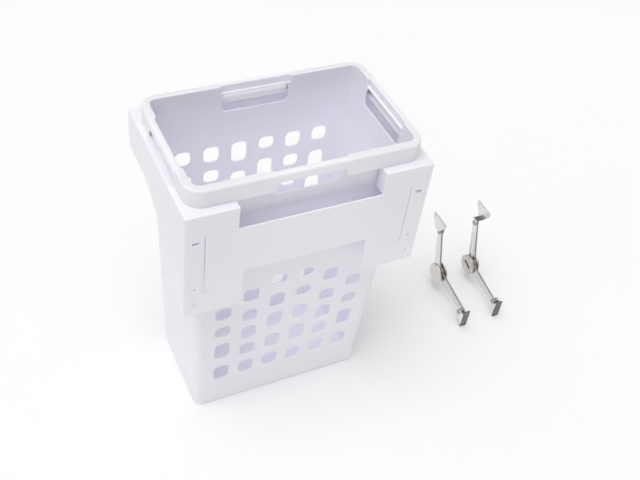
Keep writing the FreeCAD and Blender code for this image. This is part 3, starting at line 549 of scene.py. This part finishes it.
@dataclass
class BasketMaker:
    """The tall basket: tapered walls, rim with skirt, hand holes and air holes.

    A bite is how far a piece that is joined on reaches into its neighbour. The columns list the
    air holes from the top: a hole, the bar below it, the next hole and so on, as shares of the
    field's height.
    """

    material: Material
    rim_width: float = 381.0
    rim_front: float = 15.0
    rim_depth: float = 232.0
    rim_radius: float = 27.0
    rim_round: float = 3.5
    skirt_wall: float = 2.5
    under_rim_round: float = 1.2
    wall: float = 2.5
    floor: float = 3.0
    floor_round: float = 4.0
    mouth: Pair = (360.0, 211.5)
    mouth_front: float = 26.0
    base: Pair = (321.0, 174.5)
    base_front: float = 44.0
    base_radius: float = 14.0
    base_round: float = 6.0
    grip_half: float = 57.5
    grip_low: float = 86.0
    grip_high: float = 118.5
    grip_round: float = 9.0
    grip_margin: float = 5.0
    thumb_floor: float = 121.0
    thumb_recess: float = 3.5
    thumb_margin: float = 2.5
    thumb_round: float = 2.0
    thumb_reach: float = 3.0
    ledge_round: float = 1.4
    ledge_near: float = 0.8
    ledge_least: float = 20.0
    hole_width: float = 27.0
    hole_pitch: float = 50.4
    hole_round: float = 9.0
    hole_round_share: float = 0.45
    field_top: float = 19.5
    front_field_top: float = -100.5
    field_foot: float = -347.5
    bite: float = 1.25
    cut_front: float = -50.0
    cut_back: float = 400.0
    cut_side: float = 300.0
    edge: float = 0.7

    outer_column = (27, 24, 39, 18, 39, 24, 28, 21, 25, 20, 40, 24, 36)
    middle_column = (30, 18, 24, 19, 25, 22, 31, 23, 28, 16, 33, 14, 31, 18, 33)
    left_column = (39, 23, 37, 22, 23, 23, 34, 16, 38, 22, 34, 20, 34)
    right_column = (23, 23, 47, 29, 20, 24, 24, 25, 36, 17, 42, 25, 30)

    @property
    def middle(self) -> float:
        """The rim's middle along Y."""
        return self.rim_front + self.rim_depth / 2

    def build(self) -> Piece:
        """Makes, dresses and mounts the basket."""
        shell = self.rim()
        tub = self.tub("tub", 0.0, BASE, RIM_TOP - self.bite)
        shape_with(shell, Cut.JOIN, tub, *self.grip_blocks())
        shape_with(shell, Cut.AWAY, self.cavity(), *self.grips(), *self.thumb_recesses())
        round_edges(shell, self.ledge_round, 4, self.ledge_edge)
        shape_with(shell, Cut.AWAY, self.air_holes())
        soften(shell, self.edge)
        shell.name = "basket_body"
        dress(shell, self.material)
        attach(shell, "basket")
        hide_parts("basket")
        return shell

    def tub(self, name: str, inset: float, low: float, high: float) -> Piece:
        """Makes the tapered block that the walls follow.

        Args:
            name: the new object's name.
            inset: how far it is drawn in from the walls' outside.
            low: the height of its base.
            high: the height of its top, along the same taper.

        Returns:
            The block.
        """
        half = self.base[0] / 2 - inset
        front = self.base_front + inset
        back = self.base_front + self.base[1] - inset
        radius = self.base_radius - inset
        shape = rounded_block(name, (-half, front, low), (half, back, high), Z, radius, 10)
        share = (high - BASE) / (RIM_TOP - BASE)
        width = self.base[0] + (self.mouth[0] - self.base[0]) * share - 2 * inset
        depth = self.base[1] + (self.mouth[1] - self.base[1]) * share - 2 * inset
        lean = self.mouth_front + self.mouth[1] / 2 - self.base_front - self.base[1] / 2
        middle = self.base_front + self.base[1] / 2 + lean * share
        spread(shape, high, (width, depth), (0.0, middle))
        if inset == 0.0:
            round_edges(shape, self.base_round, 4, lies_at(Z, low))
        return shape

    def cavity(self) -> Piece:
        """Makes the inside of the basket, from its floor to above the rim."""
        shape = self.tub("cavity", self.wall, BASE + self.floor, RIM_TOP + 2.0)
        return round_edges(shape, self.floor_round, 3, lies_at(Z, BASE + self.floor))

    def rim(self) -> Piece:
        """Makes the rim and its skirt, open below."""
        half = self.rim_width / 2
        back = self.rim_front + self.rim_depth
        low, high = (-half, self.rim_front, FLANGE), (half, back, RIM_TOP)
        shape = rounded_block("rim", low, high, Z, self.rim_radius, 12)
        round_edges(shape, self.rim_round, 5, lies_at(Z, RIM_TOP))
        t = self.skirt_wall
        low = (-half + t, self.rim_front + t, FLANGE - 10.0)
        high = (half - t, back - t, RIM_TOP - t)
        inner = rounded_block("under_rim", low, high, Z, self.rim_radius - t, 12)
        round_edges(inner, self.under_rim_round, 2, lies_at(Z, RIM_TOP - t))
        return shape_with(shape, Cut.AWAY, inner)

    def ledge_edge(self, a: Vector, b: Vector) -> bool:
        """Whether an edge is the inner one of a ledge under a thumb recess."""
        side = self.mouth[0] / 2 - self.wall
        front = self.mouth_front + self.wall
        back = self.mouth_front + self.mouth[1] - self.wall
        ends = all(min(abs(v.y - front), abs(v.y - back)) < self.ledge_near for v in (a, b))
        sides = all(abs(abs(v.x) - side) < self.ledge_near for v in (a, b))
        level = lies_at(Z, self.thumb_floor)(a, b)
        return level and (ends or sides) and (a - b).length > self.ledge_least

    def grip_blocks(self) -> list[Piece]:
        """Makes the solid stretches of rim over the four hand holes."""
        half = self.grip_half + self.grip_margin
        front = (self.rim_front + self.bite, self.mouth_front + self.bite)
        back_wall = self.mouth_front + self.mouth[1]
        back = (back_wall - self.bite, self.rim_front + self.rim_depth - self.bite)
        near, far = self.mouth[0] / 2 - self.bite, self.rim_width / 2 - self.bite
        spans = [((-half, start), (half, end)) for start, end in (front, back)]
        for left, right in ((near, far), (-far, -near)):
            spans.append(((left, self.middle - half), (right, self.middle + half)))
        low, high = self.grip_high, RIM_TOP - self.bite
        return [block("grip_block", (*start, low), (*end, high)) for start, end in spans]

    def grips(self) -> list[Piece]:
        """Makes the shapes of the hand holes, one front to back and one side to side."""
        half, low, high = self.grip_half, self.grip_low, self.grip_high
        ends = (-half, self.cut_front, low), (half, self.cut_back, high)
        sides = (-self.cut_side, self.middle - half, low), (self.cut_side, self.middle + half, high)
        return [
            rounded_block("end_grips", *ends, Y, self.grip_round, 6),
            rounded_block("side_grips", *sides, X, self.grip_round, 6),
        ]

    def thumb_recesses(self) -> list[Piece]:
        """Makes the recesses over the hand holes, open to the inside and above."""
        wide = self.grip_half + self.thumb_margin
        low, high = self.thumb_floor, RIM_TOP + 5.0
        front = self.mouth_front + self.wall
        back = self.mouth_front + self.mouth[1] - self.wall
        side = self.mouth[0] / 2 - self.wall
        deep, reach, middle = self.thumb_recess, self.thumb_reach, self.middle
        spans = (
            ((-wide, front - deep), (wide, front + reach)),
            ((-wide, back - reach), (wide, back + deep)),
            ((side - reach, middle - wide), (side + deep, middle + wide)),
            ((-side - deep, middle - wide), (-side + reach, middle + wide)),
        )
        return [
            rounded_block("thumb", (*start, low), (*end, high), Z, self.thumb_round, 3)
            for start, end in spans
        ]

    def air_holes(self) -> Piece:
        """Makes the shapes of all the air holes, in columns that close up with the taper.

        The back wall has them all, the front wall only those that start low enough.
        """
        outer, inner = self.outer_column, self.middle_column
        columns = (outer, inner, self.left_column, self.right_column, inner, outer)
        taper = (self.mouth[0] - self.base[0]) / self.mouth[0] / (RIM_TOP - BASE)
        bars = []
        for number, shares in enumerate(columns):
            place = number - (len(columns) - 1) / 2
            scale = (self.field_top - self.field_foot) / sum(shares)
            high = self.field_top
            for index, share in enumerate(shares):
                low = high - share * scale
                if index % 2 == 0:
                    drop = RIM_TOP - (low + high) / 2
                    x = place * self.hole_pitch * (1 - taper * drop)
                    start = self.cut_front if high < self.front_field_top else self.middle
                    bars.append(self.air_hole(x, start, low, high))
                high = low
        return gather("air_holes", bars)

    def air_hole(self, x: float, start: float, low: float, high: float) -> Piece:
        """Makes the shape of one air hole, from its start through the back wall."""
        half = self.hole_width / 2
        radius = min(self.hole_round, self.hole_round_share * (high - low))
        corners = (x - half, start, low), (x + half, self.cut_back, high)
        return rounded_block("air_hole", *corners, Y, radius, 6)


@dataclass
class CarrierMaker:
    """The moulded carrier: front plate, gusseted sides, back panel and flange."""

    material: Material
    half_width: float = 200.0
    depth: float = 265.0
    wall: float = 3.0
    shelf: float = 28.5
    gusset_start: float = 215.0
    gusset_foot: float = 66.0
    ring_half: float = 181.5
    ring_front: float = 24.0
    ring_back: float = 238.0
    ring_radius: float = 18.0
    notch_half: float = 117.5
    notch_floor: float = 60.5
    low_notch_half: float = 104.5
    low_notch_top: float = -30.5
    notch_round: float = 1.5
    bite: float = 1.5
    fixing_half: float = 183.0
    slot_height: float = 50.5
    slot_size: Pair = (11.0, 4.5)
    screw_height: float = -44.5
    screw_hole: float = 5.5
    peg_height: float = -79.5
    peg_hole: float = 9.0
    slit_half: float = 168.5
    slit_span: Pair = (-55.5, 62.5)
    slit_width: float = 1.2
    slit_leg: float = 8.0
    plate_cut: Pair = (-5.0, 8.0)
    edge: float = 0.5

    def build(self) -> Piece:
        """Makes, dresses and mounts the carrier."""
        low, high = (-self.half_width, 0.0, -FLANGE), (self.half_width, self.depth, FLANGE)
        shell = block("carrier", low, high)
        shape_with(shell, Cut.AWAY, *self.gusset_sweep(), self.hollow())
        shape_with(shell, Cut.JOIN, *self.notch_returns())
        shape_with(shell, Cut.AWAY, self.ring(), *self.notches(), *self.fixings())
        soften(shell, self.edge)
        shell.name = "carrier_body"
        dress(shell, self.material)
        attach(shell, "carrier")
        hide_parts("carrier_frame")
        return shell

    def gusset_sweep(self) -> list[Piece]:
        """Makes what lies below the side panels: a round sweep and the space behind it."""
        fall = self.shelf + FLANGE
        run = self.gusset_start - self.gusset_foot
        radius = (run**2 + fall**2) / (2 * fall)
        centre = (0.0, self.gusset_start, self.shelf - radius)
        sweep = rod("sweep", centre, radius, 900.0, X, 160)
        low = (-450.0, self.gusset_start, -400.0)
        return [sweep, block("behind", low, (450.0, 500.0, self.shelf))]

    def hollow(self) -> Piece:
        """Makes the open underside."""
        t = self.wall
        half = self.half_width - t
        return block("hollow", (-half, t, -300.0), (half, self.depth - t, FLANGE - t))

    def ring(self) -> Piece:
        """Makes the mouth that the basket hangs through, which also trims the notch returns."""
        low = (-self.ring_half, self.ring_front, self.notch_floor - 10.0)
        high = (self.ring_half, self.ring_back, FLANGE + 10.0)
        return rounded_block("ring", low, high, Z, self.ring_radius, 12)

    def notches(self) -> list[Piece]:
        """Makes the hand notch above and the notch below."""
        half, low_half = self.notch_half, self.low_notch_half
        above = (-half, -10.0, self.notch_floor), (half, 33.0, 130.0)
        below = (-low_half, -10.0, -130.0), (low_half, 6.0, self.low_notch_top)
        return [rounded_block("notch", *ends, Y, self.notch_round, 3) for ends in (above, below)]

    def notch_returns(self) -> list[Piece]:
        """Makes the walls that close the plate's wings beside the hand notch."""
        made = []
        for sign in (-1, 1):
            near, far = sign * self.notch_half, sign * (self.notch_half + self.wall)
            low = (min(near, far), self.bite, self.notch_floor)
            high = (max(near, far), self.ring_front + 2.0, FLANGE - self.bite)
            made.append(block("return", low, high))
        return made

    def fixings(self) -> list[Piece]:
        """Makes the slots, the round holes and the slits of both ends of the plate."""
        made = []
        long, across = self.slot_size
        front, back = self.plate_cut
        for sign in (-1, 1):
            x = sign * self.fixing_half
            low = (x - long / 2, front, self.slot_height - across / 2)
            high = (x + long / 2, back, self.slot_height + across / 2)
            made.append(rounded_block("slot", low, high, Y, across / 2 - 0.01, 8))
            screw, peg = (x, 2.0, self.screw_height), (x, 2.0, self.peg_height)
            made.append(rod("screw_hole", screw, self.screw_hole / 2, 14.0, Y, 32))
            made.append(rod("peg_hole", peg, self.peg_hole / 2, 14.0, Y, 40))
            made.append(self.slit(sign))
        return made

    def slit(self, sign: int) -> Piece:
        """Makes one slit with the short leg at its foot."""
        low, high = self.slit_span
        front, back = self.plate_cut
        half = self.slit_width / 2
        edges = (sign * (self.slit_half - half), sign * (self.slit_half + half))
        tall = block("slit", (min(edges), front, low), (max(edges), back, high))
        ends = (edges[1], edges[1] - sign * self.slit_leg)
        corner = (max(ends), back, low + self.slit_width)
        leg = block("leg", (min(ends), front, low), corner)
        return shape_with(tall, Cut.JOIN, leg)


@dataclass(frozen=True)
class StayFinishes:
    """The materials of a stay's pieces."""

    arm: Material
    # Painted shade on the side faces of arms and brackets
    edge: Material
    cap: Material
    knob: Material
    rivet: Material
    # Painted shade on the top bracket's fold and the foot bracket's plate
    bracket: Material
    # Painted shade in the hub's lower rims and the coin slot
    black: Material
    washer: Material


@dataclass
class StayMaker:
    """One flap stay. Layers are counted from the arms' middle towards the cap.

    The fan is the top bracket's plate. Its sizes are counted from the top pivot, and those of the
    foot bracket from the foot pivot.
    """

    side: Side
    across: float
    finishes: StayFinishes
    hub: Pair = (156.5, -374.583)
    arm_length: float = 100.0
    upper_slope: float = 75.0
    lower_slope: float = 8.0
    arm_thick: float = 4.0
    arm_tip: float = 14.0
    arm_root: float = 22.0
    eye: float = 34.0
    upper_low: float = 1.1
    pivot_bore: float = 2.75
    hub_bore: float = 4.2
    cap_size: float = 43.0
    cap_thick: float = 3.0
    seat_radius: float = 7.05
    seat_depth: float = 1.8
    knob_high: float = -5.5
    knob_bore: float = 4.05
    knob_bore_depth: float = 1.15
    coin_half: Pair = (10.5, 2.25)
    coin_depth: float = 1.2
    coin_slope: float = 22.0
    sheet: float = 1.6
    lug_width: float = 13.0
    lug_layer: float = 0.8
    screw_hole: float = 2.1
    corner_round: float = 3.5
    plate_offset: float = 12.0
    fan_low: float = 8.5
    fan_half: float = 23.0
    fan_cheek: float = 32.0
    fan_top: float = 40.0
    fan_holes: Pair = (15.0, 34.5)
    foot_layers: Pair = (-8.0, 7.0)
    foot_front: float = 16.5
    foot_low: float = 29.0
    foot_high: float = 15.0
    foot_web_low: float = 25.5
    foot_web_reach: float = 3.25
    foot_holes: Pair = (7.0, 13.0)

    @property
    def name(self) -> str:
        """The stay's name in the frame."""
        return f"{self.side.name.lower()}_stay"

    @property
    def top_pivot(self) -> Pair:
        """The top bracket's pivot in the side view."""
        return self.at(self.upper_slope)

    @property
    def foot_pivot(self) -> Pair:
        """The foot bracket's pivot in the side view."""
        return self.at(self.lower_slope + 180)

    def at(self, slope: float) -> Pair:
        """The point that lies an arm's length away from the hub along a slope in degrees."""
        angle = math.radians(slope)
        reach = self.arm_length
        return self.hub[0] + reach * math.cos(angle), self.hub[1] + reach * math.sin(angle)

    def layers(self, low: float, high: float) -> Pair:
        """A span of layers as a span along X."""
        ends = [self.across + self.side.value * layer for layer in (low, high)]
        return min(ends), max(ends)

    def disc(
        self, name: str, low: float, high: float, radius: float, place: Point, sides: int
    ) -> Piece:
        """Makes a disc between two layers about a point in the side view."""
        left, right = self.layers(low, high)
        centre = ((left + right) / 2, place[0], place[1])
        return rod(name, centre, radius, right - left, X, sides)

    def build(self) -> list[Piece]:
        """Makes, dresses and mounts the stay's pieces."""
        made = [
            self.mount(self.arm("lower_arm", -self.arm_thick, self.lower_slope + 180), "lower"),
            self.mount(self.arm("upper_arm", self.upper_low, self.upper_slope), "upper"),
            self.mount(self.cap(), "upper"),
            self.mount(self.knob(), "knob"),
            self.mount(self.top_bracket(), "bracket"),
            self.mount(self.foot_bracket(), "carrier"),
        ]
        self.dress_nodes()
        return made

    def mount(self, piece: Piece, body: str) -> Piece:
        """Names a piece after its node with a word of its own, and mounts it on its body."""
        kind = piece.name
        node = f"{self.name}_{kind}"
        finishes = self.finishes
        looks = {
            # The lower arm takes the cap's darker nickel as painted shade; the upper arm has the
            # true tone
            "lower_arm": (finishes.cap, "arm_steel"),
            "upper_arm": (finishes.arm, "arm_steel"),
            "brake_cap": (finishes.cap, "cap_steel"),
            "brake_knob": (finishes.knob, "cap_steel"),
            "top_bracket": (finishes.arm, "bracket_steel"),
            "foot_bracket": (finishes.bracket, "bracket_steel"),
        }
        material, slot = looks[kind]
        piece.name = f"{node}_shape"
        dress(piece, material)
        self.dress_details(piece, kind)
        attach(piece, body if body == "carrier" else f"{self.name}_{body}")
        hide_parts(node)
        return piece

    def dress_details(self, piece: Piece, kind: str) -> None:
        """Paints shade in darker metals: on the side faces, on the lower rims in the hub, in the
        coin slot, on the top bracket's fold and on the foot bracket's plate, whose lug keeps the
        arm's nickel.
        """
        finishes = self.finishes
        fold_top = (self.top_pivot[1] + self.fan_low + 2.5) * MM
        plate_back = (self.foot_pivot[0] - self.foot_front + self.sheet + 0.3) * MM

        # The fold's upper and lower faces get painted shade
        def in_the_fold_shade(face: bpy.types.MeshPolygon) -> bool:
            return abs(face.normal.z) > 0.5 and face.center.z < fold_top

        if kind.endswith(("_arm", "bracket")):
            # Side faces get painted shade
            dress_faces(piece, finishes.edge, lambda face: abs(face.normal.x) < 0.5)
        if kind.endswith("_arm"):
            # The lower rims in the hub get painted shade
            dress_faces(piece, finishes.black, self.in_the_hub_shade)
        elif kind == "brake_knob":
            # The coin slot gets painted shade
            dress_faces(piece, finishes.black, self.in_the_coin_slot_shade)
        elif kind == "top_bracket":
            dress_faces(piece, finishes.bracket, in_the_fold_shade)
        elif kind == "foot_bracket":
            # The lug keeps the arm's nickel; the plate gets painted shade
            dress_faces(piece, finishes.arm, lambda face: face.center.y > plate_back)
            dress_faces(piece, finishes.bracket, lambda face: face.center.y < plate_back)

    def from_hub(self, face: bpy.types.MeshPolygon) -> float:
        """How far a face lies from the hub in the side view, in millimetres."""
        return math.dist([v / MM for v in face.center[1:]], self.hub)

    def in_the_hub_shade(self, face: bpy.types.MeshPolygon) -> bool:
        """Whether a face is on the lower half of an arm's rim between cap and knob, which gets
        painted shade.
        """
        lower = abs(face.normal.x) < 0.9 and face.normal.z < 0.2
        return lower and self.from_hub(face) < self.eye / 2 + 0.4

    def in_the_coin_slot_shade(self, face: bpy.types.MeshPolygon) -> bool:
        """Whether a face is part of the knob's coin slot, which gets painted shade."""
        outer = self.across + self.side.value * (self.knob_high - self.cap_thick)
        sunk = abs(face.center.x / MM - outer)
        return 0.3 < sunk < self.coin_depth + 0.1 and self.from_hub(face) < 12.0

    def arm(self, name: str, low: float, slope: float) -> Piece:
        """Makes a tapered arm with its round eye at the hub.

        Args:
            name: the arm's name.
            low: the layer of its lower face.
            slope: the way that it points from the hub, in degrees.

        Returns:
            The arm.
        """
        high = low + self.arm_thick
        left, right = self.layers(low, high)
        y, z = self.hub
        far, half = y + self.arm_length, self.arm_root / 2
        bar = block(name, (left, y, z - half), (right, far, z + half))
        narrow = (1, 1, self.arm_tip / self.arm_root)
        stretch_end(bar, lies_at(Y, far), narrow, ((left + right) / 2, far, z))
        tip = self.disc("tip", low, high, self.arm_tip / 2, (far, z), 64)
        eye = self.disc("eye", low, high, self.eye / 2, (y, z), 96)
        shape_with(bar, Cut.JOIN, tip, eye)
        for place, radius in (((far, z), self.pivot_bore), ((y, z), self.hub_bore)):
            shape_with(bar, Cut.AWAY, self.disc("bore", low - 5, high + 5, radius, place, 32))
        soften(bar, 0.5)
        self.turn(bar, slope)
        return bar

    def turn(self, piece: Piece, slope: float) -> None:
        """Turns a piece about the hub from pointing along +Y to a slope in degrees."""
        pivot = Vector((0.0, self.hub[0] * MM, self.hub[1] * MM))
        turned = Matrix.Rotation(math.radians(slope), 4, "X")
        piece.matrix_world = Matrix.Translation(pivot) @ turned @ Matrix.Translation(-pivot)
        settle(piece)

    def cap(self) -> Piece:
        """Makes the plain cap over the hub, with the seat under it."""
        low = self.upper_low + self.arm_thick
        high = low + self.cap_thick
        cap = self.disc("brake_cap", low, high, self.cap_size / 2, self.hub, 128)
        soften(cap, 1.1, 4)
        seat = self.disc("seat", low - 5.0, low + self.seat_depth, self.seat_radius, self.hub, 48)
        shape_with(cap, Cut.AWAY, seat)
        soften(cap, 0.3)
        return cap

    def knob(self) -> Piece:
        """Makes the brake's knob with its coin slot."""
        high = self.knob_high
        low = high - self.cap_thick
        knob = self.disc("brake_knob", low, high, self.cap_size / 2, self.hub, 128)
        left, right = self.layers(low - 5.0, low + self.coin_depth)
        y, z = self.hub
        long, tall = self.coin_half
        ends = (left, y - long, z - tall), (right, y + long, z + tall)
        slot = rounded_block("coin", *ends, X, tall - 0.01, 8)
        self.turn(slot, self.coin_slope)
        bore_low = high - self.knob_bore_depth
        bore = self.disc("bore", bore_low, high + 5.0, self.knob_bore, self.hub, 32)
        shape_with(knob, Cut.AWAY, slot, bore)
        soften(knob, 0.9, 3)
        return knob

    def top_bracket(self) -> Piece:
        """Makes the top bracket: lug, fold and a plate that widens upwards, with two holes."""
        y, z = self.top_pivot
        half, t = self.lug_width / 2, self.sheet
        lug = (self.lug_layer - t, self.lug_layer)
        offset, wide = self.plate_offset, self.fan_half
        low, cheek, top = z + self.fan_low, z + self.fan_cheek, z + self.fan_top
        left, right = self.layers(offset, offset + t)
        plate = block("top_bracket", (left, y - wide, low), (right, y + wide, cheek))
        stretch_end(plate, lies_at(Z, low), (1, half / wide, 1), (0, y, low))
        raise_end(plate, cheek, top - cheek)

        def outer_corner(a: Vector, b: Vector) -> bool:
            level = any(lies_at(Z, height)(a, b) for height in (cheek, top))
            return level and abs(a.y - b.y) < IN_PLANE

        round_edges(plate, self.corner_round, 6, outer_corner)
        left, right = self.layers(lug[0], offset + t)
        fold = block("fold", (left, y - half, low), (right, y + half, low + t))
        left, right = self.layers(*lug)
        neck = block("lug", (left, y - half, z), (right, y + half, low + t))
        shape_with(plate, Cut.JOIN, fold, neck, self.disc("lug_end", *lug, half, (y, z), 48))
        aside, up = self.fan_holes
        for sign in (-1, 1):
            place = (y + sign * aside, z + up)
            hole = self.disc("hole", offset - 3.0, offset + 5.0, self.screw_hole, place, 32)
            shape_with(plate, Cut.AWAY, hole)
        bore = self.disc("bore", lug[0] - 5, lug[1] + 4, self.pivot_bore, (y, z), 32)
        shape_with(plate, Cut.AWAY, bore)
        soften(plate, 0.35)
        return plate

    def foot_bracket(self) -> Piece:
        """Makes the foot angle: upright plate with two screw holes, and the pivot lug."""
        y, z = self.foot_pivot
        t, half = self.sheet, self.lug_width / 2
        front, web_low = y - self.foot_front, z - self.foot_web_low
        left, right = self.layers(*self.foot_layers)
        low, high = (left, front, z - self.foot_low), (right, front + t, z + self.foot_high)
        plate = block("foot_bracket", low, high)
        round_edges(plate, self.corner_round, 6, runs_along(Y))
        lug = (self.foot_layers[1] - t, self.foot_layers[1])
        left, right = self.layers(*lug)
        web = block("lug", (left, front, web_low), (right, y, z + half))
        back_foot = (0, self.foot_web_reach, self.foot_web_low - self.lug_width / 3)
        shift_end(web, lambda a, b: min(a.y, b.y) > y - 0.1 and max(a.z, b.z) < z, back_foot)
        shape_with(plate, Cut.JOIN, web, self.disc("lug_end", *lug, half, (y, z), 48))
        middle = self.across + self.side.value * sum(self.foot_layers) / 2
        down, aside = self.foot_holes
        for sign in (-1, 1):
            centre = (middle, front + 1.0, z - down + sign * aside)
            shape_with(plate, Cut.AWAY, rod("hole", centre, self.screw_hole, 12.0, Y, 32))
        bore = self.disc("bore", lug[0] - 2.0, lug[1] + 2.0, self.pivot_bore, (y, z), 32)
        shape_with(plate, Cut.AWAY, bore)
        soften(plate, 0.35)
        return plate

    def dress_nodes(self) -> None:
        """Gives the stay's small round pieces their materials."""
        metal = ("foot_rivet", "top_rivet", "brake_stud", "spring_washer")
        looks = {word: self.finishes.rivet for word in metal}
        looks["friction_washer"] = self.finishes.washer
        for word, material in looks.items():
            dress(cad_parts[f"{self.name}_{word}"], material)


# The studio


@dataclass(frozen=True)
class Lamp:
    """One soft lamp overhead: its strength, its spread in degrees and the way it shines."""

    name: str
    strength: float
    spread: float
    aim: Point

    def hang(self) -> None:
        """Adds the lamp to the scene."""
        data = bpy.data.lights.new(self.name, "SUN")
        data.energy = self.strength
        data.angle = math.radians(self.spread)
        lamp = bpy.data.objects.new(self.name, data)
        bpy.context.scene.collection.objects.link(lamp)
        lamp.location = (-1.0, 0.1, 3.4)
        lamp.rotation_euler = Vector(self.aim).to_track_quat("-Z", "Y").to_euler()


@dataclass(frozen=True)
class Studio:
    """The floor, the soft light and the camera at the photograph's viewing angle.

    The floor's size and the camera's place are in metres, the turns in degrees.
    """

    floor_size: float = 80.0
    floor_gap: float = 0.2
    lens: float = 50.635
    sensor: float = 36.0
    camera_place: Point = (-0.49623, -0.844153, 0.960812)
    yaw: float = -31.381
    pitch: float = -44.307
    roll: float = 9.019
    bounces: int = 14
    sky: float = 0.25
    lamps: tuple[Lamp, ...] = (
        Lamp("overhead", 1.40, 110.0, (0.22, 0.09, -1.0)),
        Lamp("key", 1.15, 44.0, (0.31, 0.11, -0.95)),
    )

    def build(self) -> None:
        """Sets up floor, light and camera, and a plain white-to-black picture."""
        bpy.context.scene.view_settings.view_transform = "Standard"
        bpy.context.scene.cycles.max_bounces = self.bounces
        bpy.context.scene.cycles.diffuse_bounces = self.bounces
        self.floor()
        self.light()
        self.camera()

    def floor(self) -> None:
        """Lays the floor just under the basket's base."""
        deselect_all()
        height = (BASE - self.floor_gap) * MM
        bpy.ops.mesh.primitive_plane_add(size=self.floor_size, location=(0, 0, height))
        ground = bpy.context.object
        ground.name = "ground"
        settle(ground)
        dress(ground, PaleGround().material())

    def light(self) -> None:
        """Sets a dim white sky and hangs the soft lamps."""
        world = bpy.data.worlds.new("studio_sky")
        world.use_nodes = True
        background = world.node_tree.nodes["Background"]
        background.inputs["Color"].default_value = (1.0, 1.0, 1.0, 1.0)
        background.inputs["Strength"].default_value = self.sky
        bpy.context.scene.world = world
        for lamp in self.lamps:
            lamp.hang()

    def camera(self) -> None:
        """Stands the camera where the photograph was taken from."""
        yaw, pitch, roll = (math.radians(v) for v in (self.yaw, self.pitch, self.roll))
        ahead = Vector(
            (-math.sin(yaw) * math.cos(pitch), math.cos(yaw) * math.cos(pitch), math.sin(pitch))
        )
        level = Vector((math.cos(yaw), math.sin(yaw), 0.0))
        upright = level.cross(ahead)
        right = level * math.cos(roll) + upright * math.sin(roll)
        up = -level * math.sin(roll) + upright * math.cos(roll)
        data = bpy.data.cameras.new("camera")
        data.lens = self.lens
        data.sensor_width = self.sensor
        data.sensor_fit = "HORIZONTAL"
        data.dof.use_dof = False
        camera = bpy.data.objects.new("camera", data)
        bpy.context.scene.collection.objects.link(camera)
        turn = Matrix((right, up, -ahead)).transposed().to_4x4()
        camera.matrix_world = Matrix.Translation(Vector(self.camera_place)) @ turn
        bpy.context.scene.camera = camera


def stay_finishes() -> StayFinishes:
    """Makes the metals and the brake's lining."""
    metals = {field: BrushedMetal(*look).material() for field, look in METALS.items()}
    lining = MouldedPlastic(
        "brake_lining", (0.03, 0.03, 0.03), (0.05, 0.05, 0.05), glow_through=0.0
    )
    return StayFinishes(**metals, washer=lining.material())


def main() -> None:
    """Builds the object's pieces in order, and the studio round them."""
    logging.basicConfig(level=logging.INFO, format="%(name)s: %(message)s")
    Studio().build()
    LOG.info("studio: floor, lamps and camera")
    basket_plastic = MouldedPlastic("basket_plastic", WHITE, WHITE_SHADE)
    carrier_plastic = MouldedPlastic("carrier_plastic", WHITE, WHITE_SHADE, 0.38, 0.48)
    pieces = [
        BasketMaker(basket_plastic.material()).build(),
        CarrierMaker(carrier_plastic.material()).build(),
    ]
    finishes = stay_finishes()
    for side, across in ((Side.LEFT, 413.0), (Side.RIGHT, 493.0)):
        pieces.extend(StayMaker(side, across, finishes).build())
    for piece in pieces:
        LOG.info("%s: %d faces", piece.name, len(piece.data.polygons))


if __name__ == "__main__":
    main()
